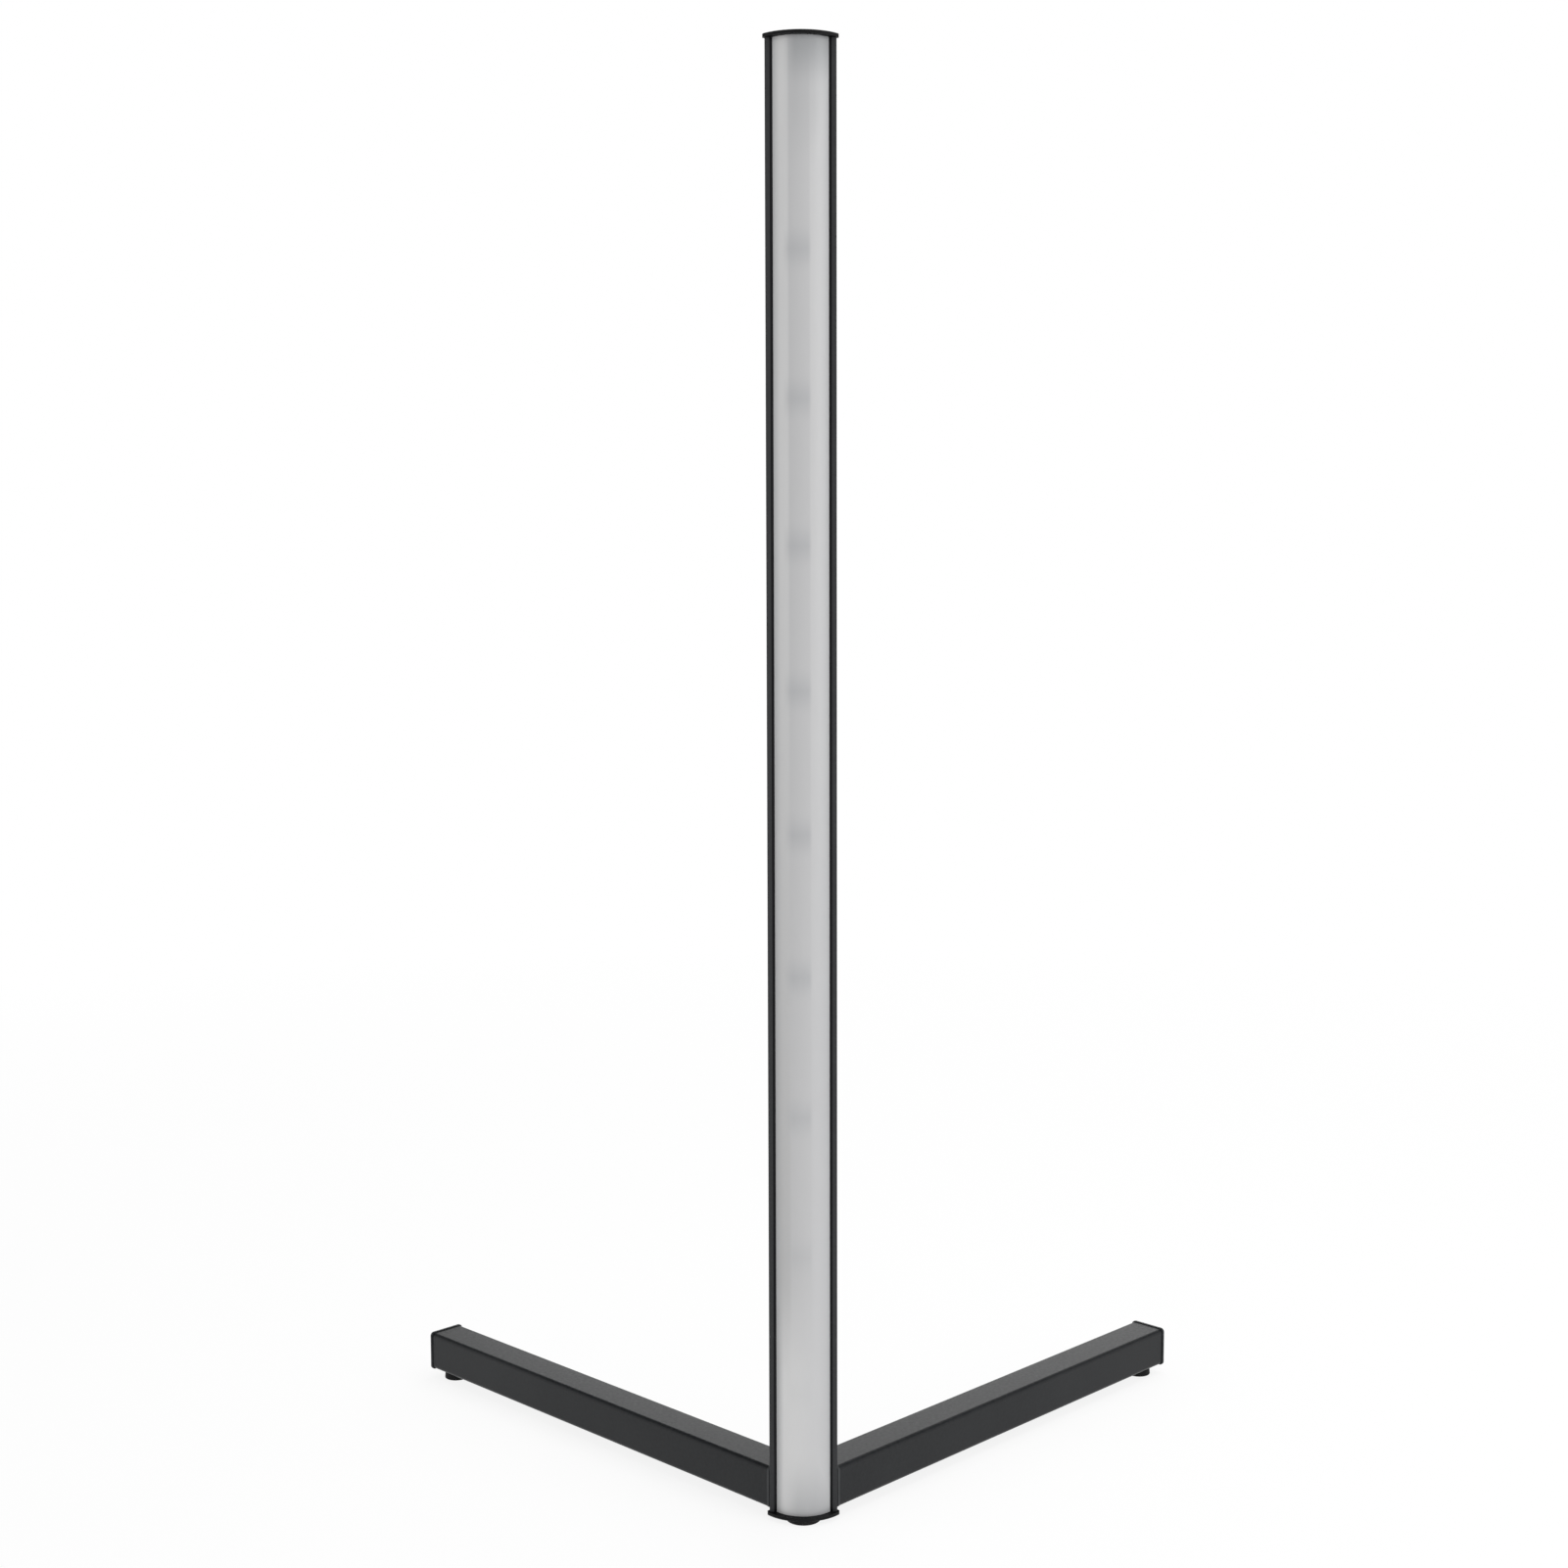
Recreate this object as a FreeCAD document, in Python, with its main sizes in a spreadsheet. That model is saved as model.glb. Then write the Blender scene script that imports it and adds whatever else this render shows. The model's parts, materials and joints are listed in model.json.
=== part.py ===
# Corner floor lamp: an upright V-section light bar on two square-tube legs that
# stand at a right angle, so that the lamp fits into the corner of a room.
#
# Millimetres. +Z is up, the light faces -Y, the left leg runs towards (-X, +Y)
# and the right leg towards (+X, +Y). The origin is on the floor, under the
# middle of the apex foot.

import FreeCAD, Part
import math
import os
import types
import Sketcher

# ---------------------------------------------------------------- sizes

SIZES = {
    # light bar: V-section extrusion with a lip along each front edge
    "pole_chord": 48.0,         # width over the two lips
    "pole_wall": 1.5,           # thickness of the V walls
    "lip_width": 3.3,           # face of each lip, seen from the front
    "lip_thick": 1.5,           # depth of each lip's outer edge
    "groove_depth": 1.2,        # groove between lip and diffuser
    "tongue_thick": 1.0,        # tongue that forms its floor
    "lip_round": 0.4,           # rounding of the lips' outer front edges
    "apex_round": 1.5,          # rounding of the rear edge
    "seat_depth": 15.3,         # from the lips back to the face that carries the strip
    "seat_thick": 1.4,          # web behind the strip
    "port_outer": 2.2,          # radius of the screw port behind the web
    "port_bore": 1.25,          # radius of its bore
    "port_offset": 1.5,         # port centre behind the web

    # snap-in diffuser
    "diffuser_gap": 1.9,        # width of the groove between lip and diffuser
    "diffuser_bulge": 8.2,      # how far its front stands out before the lips
    "diffuser_wall": 1.5,
    "hook_grip": 0.45,          # bite of each snap hook behind its tongue
    "snap_gap": 0.15,           # play round the hooks

    # end pieces of the bar
    "cap_overhang": 1.45,       # how far cap and bottom plate stand out past the bar
    "cap_bulge": 12.0,          # front of cap and plate before the lips
    "cap_thick": 2.5,
    "plate_thick": 2.5,
    "cap_round": 2.0,           # rounding of their rear corner
    "cap_edge": 0.5,            # chamfer round their outer face
    "rib_depth": 4.0,           # locating ribs, into the bar
    "rib_wall": 1.2,
    "rib_start": 5.6,           # ribs begin and end this far behind the lips
    "rib_end": 12.5,
    "rib_gap": 0.15,
    "cap_screw_length": 12.0,
    "cap_screw_head": 2.8,      # radius

    # light strip
    "strip_lift": 6.5,          # lower end above the foot of the bar
    "strip_head": 9.5,          # bar left free above its upper end
    "strip_width": 10.0,
    "tape_thick": 0.4,
    "segment_length": 100.0,    # one cuttable length of the strip
    "diode_size": 5.0,
    "diode_height": 1.6,
    "chip_gap": 2.9,            # between a driver chip and the diode above it
    "chip_width": 3.9,
    "chip_length": 4.9,
    "chip_height": 1.4,
    "chip_lead": 1.0,           # reach of the chip's legs
    "resistor_length": 3.2,
    "resistor_width": 1.6,
    "resistor_height": 0.6,

    # leads and connector inside the bar
    "lead_radius": 0.5,
    "lead_pitch": 1.1,          # between the two leads as they rise
    "lead_pad": 2.5,            # solder pads, each side of the middle
    "lead_drop_near": 3.6,      # lowest run of each lead above the foot of the bar
    "lead_drop_far": 2.2,
    "connector_rise": 31.5,
    "connector_gap": 0.15,      # between the connector and the wall of the bar
    "connector_width": 3.4,
    "connector_depth": 4.0,
    "connector_length": 12.0,
    "connector_wall": 0.6,

    # cable inlet, a bush in the rear right wall
    "grommet_rise": 56.0,       # above the floor
    "grommet_neck": 3.5,        # radius of its hole in the wall
    "grommet_bore": 2.2,
    "grommet_flange": 5.0,
    "grommet_rim": 1.2,         # thickness of each rim

    # legs: square steel tube
    "leg_size": 30.0,
    "leg_wall": 1.5,
    "leg_corner_radius": 2.5,
    "leg_length": 394.0,        # cut length of the tube
    "leg_overhang": 0.7,        # near side of the leg past the edge of the V wall
    "foot_setback": 1.0,        # apex foot centre behind the lips

    # plug that joins a leg to the bar
    "plug_flange": 2.0,
    "plug_length": 26.0,
    "plug_gap": 0.2,
    "core_depth": 6.0,          # moulded recesses in the plug's far end
    "core_web": 3.0,
    "bolt_radius": 2.5,
    "bolt_length": 16.0,
    "bolt_hole": 2.75,
    "bolt_head": 4.25,          # radius
    "bolt_head_height": 3.0,
    "bolt_socket": 4.0,         # across flats
    "bolt_socket_depth": 1.8,
    "bolt_spacing": 16.0,
    "nut_flats": 8.0,
    "nut_height": 4.0,
    "nut_rise": 8.0,            # nut from the face of the V wall
    "nut_gap": 0.1,
    "thread_gap": 0.05,
    "plug_screw_radius": 1.5,
    "plug_screw_length": 9.0,
    "plug_screw_head": 2.8,
    "plug_screw_dome": 1.8,
    "plug_screw_rise": 18.5,    # screw from the face of the V wall

    # end cap of a leg
    "end_head": 2.5,
    "end_oversize": 0.7,
    "end_round": 0.8,
    "end_clear": 1.0,           # between the cap's sleeve and the foot's screw
    "end_wall": 1.6,
    "end_inset": 0.7,           # sleeve inside the tube's bore
    "fin_gap": 0.1,
    "fin_thick": 1.0,
    "fin_pitch": 3.0,

    # feet
    "apex_foot_radius": 12.5,
    "apex_foot_height": 3.0,
    "foot_radius": 10.0,
    "foot_height": 7.5,
    "foot_inset": 13.0,         # from the outer end of the tube
    "foot_recess": 4.4,         # radius of the screw's recess
    "foot_recess_depth": 3.6,
    "foot_screw_radius": 2.0,
    "foot_screw_length": 10.0,
    "foot_screw_head": 3.7,
    "foot_screw_dome": 2.4,
    "recess_width": 0.8,        # cross recess of the screws
    "recess_depth": 1.0,
}


SEGMENTS = 10               # of the light strip
SEGMENT_DIODES = 3          # light packages in one segment


class Size:
    """A length together with the sheet expression that gives it, so that an
    outline is drawn at its true place and still follows the sheet."""

    def __init__(self, value, text):
        self.value = float(value)
        self.text = text

    def joined(self, other, sign, value):
        return Size(value, f"({self.text} {sign} {other.text})")

    def __add__(self, other):
        other = as_size(other)
        return self.joined(other, "+", self.value + other.value)

    def __sub__(self, other):
        other = as_size(other)
        return self.joined(other, "-", self.value - other.value)

    def __mul__(self, other):
        other = as_size(other)
        return self.joined(other, "*", self.value * other.value)

    def __truediv__(self, other):
        other = as_size(other)
        return self.joined(other, "/", self.value / other.value)

    def __neg__(self):
        return as_size(0.0) - self


def as_size(number):
    """A plain number as a Size."""
    return number if isinstance(number, Size) else Size(number, f"({number!r})")


def root(size):
    """The square root of a Size."""
    return Size(math.sqrt(size.value), f"sqrt({size.text})")


ZERO = as_size(0.0)
ROOT_TWO = root(as_size(2.0))
ROOT_THREE = root(as_size(3.0))

S = types.SimpleNamespace(**{name: Size(value, "Sizes." + name) for name, value in SIZES.items()})

# section of the bar: x across, y back from the front of the lips
HALF_CHORD = S.pole_chord / 2
LIP_EDGE = HALF_CHORD - S.lip_width
LIP_BACK = S.groove_depth + S.tongue_thick
DIFFUSER_HALF = LIP_EDGE - S.diffuser_gap
TONGUE_EDGE = DIFFUSER_HALF + S.snap_gap
OUTER_V = HALF_CHORD + S.lip_thick                  # x + y on the outer face of a wall
INNER_V = OUTER_V - S.pole_wall * ROOT_TWO          # x + y on its inner face
WEB_REAR = S.seat_depth + S.seat_thick
PORT_Y = WEB_REAR + S.port_offset
TAPE_FACE = S.seat_depth - S.tape_thick
CONNECTOR_X = INNER_V - TAPE_FACE - S.connector_gap - S.connector_width / 2

# heights above the floor
POLE_BASE = S.apex_foot_height + S.plate_thick
STRIP_LENGTH = S.segment_length * SEGMENTS
POLE_LENGTH = S.strip_lift + STRIP_LENGTH + S.strip_head
POLE_TOP = POLE_BASE + POLE_LENGTH
LEG_LIFT = S.foot_height
STRIP_BASE = POLE_BASE + S.strip_lift
DIODE_PITCH = S.segment_length / SEGMENT_DIODES

# legs: each stands square on the middle of its V wall's front part
LEG_HALF = S.leg_size / 2
WALL_FACE = OUTER_V / ROOT_TWO
LEG_LINE = LEG_HALF - S.leg_overhang - (HALF_CHORD - S.lip_thick) / ROOT_TWO
LEG_X = (WALL_FACE - LEG_LINE) / ROOT_TWO
LEG_Y = (WALL_FACE + LEG_LINE) / ROOT_TWO - S.foot_setback
TUBE_END = S.plug_flange + S.leg_length
BORE_HALF = LEG_HALF - S.leg_wall
BORE_CORNER = S.leg_corner_radius - S.leg_wall
FOOT_REACH = TUBE_END - S.foot_inset
SLEEVE_LENGTH = S.foot_inset - S.foot_screw_radius - S.end_clear
BOLT_HEIGHTS = (LEG_HALF - S.bolt_spacing / 2, LEG_HALF + S.bolt_spacing / 2)

# which way each leg points, as a turn about Z from +X, and its side of the bar
LEG_SIDES = {"left": (-1, 135.0), "right": (1, 45.0)}

doc = FreeCAD.newDocument("corner_floor_lamp")


# ---------------------------------------------------------------- helpers

def make_sheet():
    """The spreadsheet with the driving dimensions."""
    sheet = doc.addObject("Spreadsheet::Sheet", "Sizes")
    for row, (name, value) in enumerate(SIZES.items(), 1):
        sheet.set(f"A{row}", name)
        sheet.set(f"B{row}", str(value))
        sheet.setAlias(f"B{row}", name)
    doc.recompute()


def bind(thing, path, size):
    """Ties a property or a constraint to the sheet."""
    thing.setExpression(path, size.text)


def new_body(label, x=ZERO, y=ZERO, z=ZERO, turn=0.0, upside_down=False):
    """An empty sub-part at its place on the lamp, turned about Z."""
    body = doc.addObject("PartDesign::Body", label)
    body.Label = label
    body.AllowCompound = True
    spin = FreeCAD.Rotation(FreeCAD.Vector(0, 0, 1), turn)
    if upside_down:
        spin = spin * FreeCAD.Rotation(FreeCAD.Vector(1, 0, 0), 180)
    body.Placement = FreeCAD.Placement(FreeCAD.Vector(x.value, y.value, z.value), spin)
    for axis, size in (("x", x), ("y", y), ("z", z)):
        bind(body, "Placement.Base." + axis, size)
    return body


def origin_part(body, role):
    """One of the body's own planes or axes."""
    return [part for part in body.Origin.OriginFeatures if part.Role == role][0]


def new_sketch(body, plane, lift=ZERO, turn=0.0):
    """An empty sketch on an origin plane, moved along its normal and turned
    about its own upright axis."""
    sketch = body.newObject("Sketcher::SketchObject", body.Label + "_sketch")
    sketch.AttachmentSupport = [(origin_part(body, plane), "")]
    sketch.MapMode = "FlatFace"
    spin = FreeCAD.Rotation(FreeCAD.Vector(0, 1, 0), turn)
    sketch.AttachmentOffset = FreeCAD.Placement(FreeCAD.Vector(0, 0, lift.value), spin)
    bind(sketch, "AttachmentOffset.Base.z", lift)
    return sketch


def pin_point(sketch, edge, end, x, y):
    """Fixes one point of a sketch by its two coordinates."""
    for kind, size in (("DistanceX", x), ("DistanceY", y)):
        rule = Sketcher.Constraint(kind, -1, 1, edge, end, size.value)
        bind(sketch, f"Constraints[{sketch.addConstraint(rule)}]", size)


def arc_between(start, end, radius):
    """The minor arc from start to end, which bulges to the right of the way
    for a positive radius and to the left for a negative one."""
    chord = end - start
    half = chord.Length / 2
    left = FreeCAD.Vector(-chord.y, chord.x, 0) / chord.Length
    reach = math.sqrt(max(radius * radius - half * half, 0.0)) * math.copysign(1, radius)
    centre = (start + end) / 2 + left * reach
    first, last = (start, end) if radius > 0 else (end, start)
    from_angle = math.atan2(first.y - centre.y, first.x - centre.x)
    to_angle = math.atan2(last.y - centre.y, last.x - centre.x)
    if to_angle < from_angle:
        to_angle += 2 * math.pi
    circle = Part.Circle(centre, FreeCAD.Vector(0, 0, 1), abs(radius))
    return Part.ArcOfCircle(circle, from_angle, to_angle)


def draw_path(sketch, corners, closed=True):
    """Draws a run of lines and arcs. A corner is (x, y), or (x, y, radius)
    where the edge that leaves it is an arc."""
    corners = [tuple(as_size(part) for part in corner) for corner in corners]
    points = [FreeCAD.Vector(corner[0].value, corner[1].value, 0) for corner in corners]
    count = len(corners) if closed else len(corners) - 1
    edges = []
    for number in range(count):
        start = points[number]
        end = points[(number + 1) % len(points)]
        if len(corners[number]) == 3:
            radius = corners[number][2]
            edge = sketch.addGeometry(arc_between(start, end, radius.value), False)
            ends = (1, 2) if radius.value > 0 else (2, 1)
            rule = Sketcher.Constraint("Radius", edge, abs(radius.value))
            sign = "" if radius.value > 0 else "-"
            sketch.setExpression(f"Constraints[{sketch.addConstraint(rule)}]", sign + radius.text)
        else:
            edge = sketch.addGeometry(Part.LineSegment(start, end), False)
            ends = (1, 2)
        edges.append((edge, ends))
    for number, (edge, ends) in enumerate(edges):
        pin_point(sketch, edge, ends[0], corners[number][0], corners[number][1])
        if closed or number + 1 < count:
            following, following_ends = edges[(number + 1) % count]
            rule = Sketcher.Constraint("Coincident", edge, ends[1], following, following_ends[0])
            sketch.addConstraint(rule)
    if not closed:
        edge, ends = edges[-1]
        pin_point(sketch, edge, ends[1], corners[-1][0], corners[-1][1])


def draw_circle(sketch, x, y, radius):
    """A circle."""
    centre = FreeCAD.Vector(x.value, y.value, 0)
    circle = Part.Circle(centre, FreeCAD.Vector(0, 0, 1), radius.value)
    edge = sketch.addGeometry(circle, False)
    pin_point(sketch, edge, 3, x, y)
    rule = Sketcher.Constraint("Radius", edge, radius.value)
    bind(sketch, f"Constraints[{sketch.addConstraint(rule)}]", radius)


def draw_box(sketch, left, low, right, high):
    """A rectangle."""
    draw_path(sketch, [(left, low), (right, low), (right, high), (left, high)])


def draw_square(sketch, x, y, half):
    """A square about (x, y)."""
    draw_box(sketch, x - half, y - half, x + half, y + half)


def draw_rounded_square(sketch, x, y, half, radius):
    """A square with round corners about (x, y)."""
    flat = half - radius
    draw_path(sketch, [
        (x + half, y - flat),
        (x + half, y + flat, radius),
        (x + flat, y + half),
        (x - flat, y + half, radius),
        (x - half, y + flat),
        (x - half, y - flat, radius),
        (x - flat, y - half),
        (x + flat, y - half, radius),
    ])


def draw_cut_square(sketch, x, y, half, cut):
    """A square with its corners cut off about (x, y)."""
    flat = half - cut
    draw_path(sketch, [
        (x + half, y - flat),
        (x + half, y + flat),
        (x + flat, y + half),
        (x - flat, y + half),
        (x - half, y + flat),
        (x - half, y - flat),
        (x - flat, y - half),
        (x + flat, y - half),
    ])


def draw_hexagon(sketch, x, y, flats):
    """A hexagon with flats above and below (x, y)."""
    corner = flats / ROOT_THREE
    draw_path(sketch, [
        (x + corner, y),
        (x + corner / 2, y + flats / 2),
        (x - corner / 2, y + flats / 2),
        (x - corner, y),
        (x - corner / 2, y - flats / 2),
        (x + corner / 2, y - flats / 2),
    ])


def pad(body, sketch, length, back=False):
    """Raises a sketch along its normal, or against it."""
    feature = body.newObject("PartDesign::Pad", body.Label + "_pad")
    feature.Profile = sketch
    feature.Reversed = back
    bind(feature, "Length", length)
    doc.recompute()
    return feature


def pocket(body, sketch, depth, forward=False):
    """Cuts a sketch against its normal, or along it, and proves that it cuts."""
    before = body.Shape.Volume
    feature = body.newObject("PartDesign::Pocket", body.Label + "_pocket")
    feature.Profile = sketch
    feature.Reversed = forward
    bind(feature, "Length", depth)
    doc.recompute()
    if not body.Shape.Volume < before:
        raise ValueError(f"a pocket of {body.Label} cuts nothing")
    return feature


def revolve(body, sketch, role):
    """Turns a sketch round one of the body's axes."""
    feature = body.newObject("PartDesign::Revolution", body.Label + "_turned")
    feature.Profile = sketch
    feature.ReferenceAxis = (origin_part(body, role), [""])
    feature.Angle = 360.0
    doc.recompute()
    return feature


def repeat_up(body, features, count, pitch):
    """Repeats features up the bar."""
    pattern = body.newObject("PartDesign::LinearPattern", body.Label + "_row")
    pattern.Originals = features
    pattern.Direction = (origin_part(body, "Z_Axis"), [""])
    pattern.Occurrences = count
    bind(pattern, "Length", pitch * (count - 1))
    body.Tip = pattern
    doc.recompute()
    return pattern


def chamfer(body, base, size, wanted):
    """Chamfers the edges for which wanted(edge) is true."""
    names = [f"Edge{n}" for n, edge in enumerate(base.Shape.Edges, 1) if wanted(edge)]
    feature = body.newObject("PartDesign::Chamfer", body.Label + "_chamfer")
    feature.Base = (base, names)
    bind(feature, "Size", size)
    doc.recompute()
    return feature


def lies_at(edge, axis, value):
    """True where the whole edge lies at one value of an axis."""
    return all(abs(getattr(v.Point, axis) - value.value) < 1e-4 for v in edge.Vertexes)


# ---------------------------------------------------------------- light bar

def make_pole_profile():
    """The aluminium extrusion: stepped lips, V walls, the web that carries
    the light strip, and a screw port behind the web."""
    body = new_body("pole_profile", y=-S.foot_setback, z=POLE_BASE)
    section = new_sketch(body, "XY_Plane")
    lip_back = INNER_V - LIP_BACK
    seat_edge = INNER_V - S.seat_depth
    rear = S.apex_round / ROOT_TWO
    draw_path(section, [
        (LIP_EDGE, ZERO),
        (HALF_CHORD - S.lip_round, ZERO, S.lip_round),
        (HALF_CHORD, S.lip_round),
        (HALF_CHORD, S.lip_thick),
        (rear, OUTER_V - rear, S.apex_round),
        (-rear, OUTER_V - rear),
        (-HALF_CHORD, S.lip_thick),
        (-HALF_CHORD, S.lip_round, S.lip_round),
        (S.lip_round - HALF_CHORD, ZERO),
        (-LIP_EDGE, ZERO),
        (-LIP_EDGE, S.groove_depth),
        (-TONGUE_EDGE, S.groove_depth),
        (-TONGUE_EDGE, LIP_BACK),
        (-lip_back, LIP_BACK),
        (-seat_edge, S.seat_depth),
        (seat_edge, S.seat_depth),
        (lip_back, LIP_BACK),
        (TONGUE_EDGE, LIP_BACK),
        (TONGUE_EDGE, S.groove_depth),
        (LIP_EDGE, S.groove_depth),
    ])
    chamber = INNER_V - WEB_REAR
    neck = root(S.port_outer * S.port_outer - S.port_offset * S.port_offset)
    draw_path(section, [
        (chamber, WEB_REAR),
        (ZERO, INNER_V),
        (-chamber, WEB_REAR),
        (-neck, WEB_REAR, -S.port_outer),
        (ZERO, PORT_Y + S.port_outer, -S.port_outer),
        (neck, WEB_REAR),
    ])
    draw_circle(section, ZERO, PORT_Y, S.port_bore)
    pad(body, section, POLE_LENGTH)

    wall_reach = WALL_FACE + S.pole_wall
    for side, turn in LEG_SIDES.values():
        holes = new_sketch(body, "YZ_Plane", turn=turn)
        for height in BOLT_HEIGHTS:
            draw_circle(holes, LEG_LINE * side, height + LEG_LIFT - POLE_BASE, S.bolt_hole)
        pocket(body, holes, wall_reach, forward=True)
    inlet = new_sketch(body, "YZ_Plane", turn=LEG_SIDES["right"][1])
    draw_circle(inlet, LEG_LINE, S.grommet_rise - POLE_BASE, S.grommet_neck)
    pocket(body, inlet, wall_reach, forward=True)


def make_diffuser():
    """The milky snap-in cover: a bowed front and two side walls, each with a
    hook that grips behind a tongue of the bar."""
    body = new_body("diffuser", y=-S.foot_setback, z=POLE_BASE)
    section = new_sketch(body, "XY_Plane")
    half = DIFFUSER_HALF
    inner = half - S.diffuser_wall
    bow = (half * half + S.diffuser_bulge * S.diffuser_bulge) / (S.diffuser_bulge * 2)
    inner_bow = bow - S.diffuser_wall
    inner_y = bow - S.diffuser_bulge - root(inner_bow * inner_bow - inner * inner)
    hook_y = LIP_BACK + S.snap_gap
    hook_x = TONGUE_EDGE + S.hook_grip
    slope = INNER_V - S.snap_gap * ROOT_TWO
    draw_path(section, [
        (-half, ZERO, bow),
        (half, ZERO),
        (half, hook_y),
        (hook_x, hook_y),
        (hook_x, slope - hook_x),
        (half, slope - half),
        (inner, slope - half),
        (inner, inner_y, -inner_bow),
        (-inner, inner_y),
        (-inner, slope - half),
        (-half, slope - half),
        (-hook_x, slope - hook_x),
        (-hook_x, hook_y),
        (-half, hook_y),
    ])
    pad(body, section, POLE_LENGTH)


def make_end_plate(label, height, thick, on_top):
    """The cap or the bottom plate of the bar: a flat plate with a bowed
    front, two locating ribs inside the walls and a countersunk hole."""
    body = new_body(label, y=-S.foot_setback, z=height)
    half = HALF_CHORD + S.cap_overhang
    bow = (half * half + S.cap_bulge * S.cap_bulge) / (S.cap_bulge * 2)
    rear_v = OUTER_V + S.cap_overhang * ROOT_TWO
    rear = S.cap_round / ROOT_TWO
    outline = new_sketch(body, "XY_Plane")
    draw_path(outline, [
        (-half, ZERO, bow),
        (half, ZERO),
        (half, rear_v - half),
        (rear, rear_v - rear, S.cap_round),
        (-rear, rear_v - rear),
        (-half, rear_v - half),
    ])
    plate = pad(body, outline, thick, back=not on_top)
    face = thick if on_top else -thick
    chamfer(body, plate, S.cap_edge, lambda edge: lies_at(edge, "z", face))

    ribs = new_sketch(body, "XY_Plane")
    near = INNER_V - S.rib_gap * ROOT_TWO
    far = near - S.rib_wall * ROOT_TWO
    for side in (-1, 1):
        draw_path(ribs, [
            ((near - S.rib_start) * side, S.rib_start),
            ((near - S.rib_end) * side, S.rib_end),
            ((far - S.rib_end) * side, S.rib_end),
            ((far - S.rib_start) * side, S.rib_start),
        ])
    pad(body, ribs, S.rib_depth, back=on_top)

    hole = new_sketch(body, "XY_Plane", lift=face)
    draw_circle(hole, ZERO, PORT_Y, S.port_bore + S.thread_gap)
    drilled = pocket(body, hole, thick * 2, forward=not on_top)
    rim = S.port_bore + S.thread_gap
    sink = S.cap_screw_head + S.thread_gap - rim
    chamfer(body, drilled, sink, lambda edge: len(edge.Vertexes) == 1
            and lies_at(edge, "z", face) and abs(edge.Length - rim.value * 2 * math.pi) < 1e-3)


def cut_cross(body, width, depth, reach, lift=ZERO, forward=False):
    """The cross recess of a screw head, cut down from a height on its axis."""
    for long_x, long_y in ((reach, width / 2), (width / 2, reach)):
        slot = new_sketch(body, "XY_Plane", lift=lift)
        draw_box(slot, -long_x, -long_y, long_x, long_y)
        pocket(body, slot, depth, forward=forward)


def make_cap_screw(label, height, upside_down):
    """A countersunk screw into the port, its head flush with the plate."""
    body = new_body(label, y=PORT_Y - S.foot_setback, z=height, upside_down=upside_down)
    shank = S.port_bore - S.thread_gap
    section = new_sketch(body, "XZ_Plane")
    draw_path(section, [
        (ZERO, ZERO),
        (ZERO, -S.cap_screw_length),
        (shank, -S.cap_screw_length),
        (shank, shank - S.cap_screw_head),
        (S.cap_screw_head, ZERO),
    ])
    revolve(body, section, "Z_Axis")
    cut_cross(body, S.recess_width, S.recess_depth, S.cap_screw_head * 0.6)


# ---------------------------------------------------------------- light strip

def make_strip_tape():
    """The flexible circuit tape, stuck on the web of the bar."""
    body = new_body("led_strip_tape", y=S.seat_depth - S.foot_setback, z=STRIP_BASE)
    outline = new_sketch(body, "XZ_Plane")
    draw_box(outline, S.strip_width / -2, ZERO, S.strip_width / 2, STRIP_LENGTH)
    pad(body, outline, S.tape_thick)


def on_tape(label, rise):
    """A sub-part whose own origin lies on the face of the tape."""
    return new_body(label, y=TAPE_FACE - S.foot_setback, z=STRIP_BASE + rise)


def make_diodes():
    """The light-emitting packages, each with one corner cut as a polarity
    mark."""
    body = on_tape("led_packages", DIODE_PITCH / 2)
    half = S.diode_size / 2
    cut = half - S.diode_size / 6
    outline = new_sketch(body, "XZ_Plane")
    draw_path(outline, [(-half, -half), (half, -half), (half, cut), (cut, half), (-half, half)])
    block = pad(body, outline, S.diode_height)
    repeat_up(body, [block], SEGMENTS * SEGMENT_DIODES, DIODE_PITCH)


def make_driver_chips():
    """The constant-current chips, one for each segment, under its last
    diode, each with two pairs of flat legs."""
    diode_foot = DIODE_PITCH * (SEGMENT_DIODES - 0.5) - S.diode_size / 2
    body = on_tape("led_driver_chips", diode_foot - S.chip_gap - S.chip_length / 2)
    half_width = S.chip_width / 2
    half_length = S.chip_length / 2
    legs = new_sketch(body, "XZ_Plane")
    tooth = S.chip_length / 8
    reach = half_width + S.chip_lead
    for row in (-1, 1):
        middle = S.chip_length * row / 4
        draw_box(legs, -reach, middle - tooth, reach, middle + tooth)
    comb = pad(body, legs, S.chip_height / 6)
    outline = new_sketch(body, "XZ_Plane")
    draw_box(outline, -half_width, -half_length, half_width, half_length)
    block = pad(body, outline, S.chip_height)
    repeat_up(body, [comb, block], SEGMENTS, S.segment_length)


def make_resistors():
    """The chip resistors, one for each segment, above its first diode."""
    body = on_tape("strip_resistors", DIODE_PITCH)
    half_width = S.resistor_width / 2
    half_length = S.resistor_length / 2
    outline = new_sketch(body, "XZ_Plane")
    draw_box(outline, -half_width, -half_length, half_width, half_length)
    block = pad(body, outline, S.resistor_height)
    repeat_up(body, [block], SEGMENTS, S.segment_length)


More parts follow.
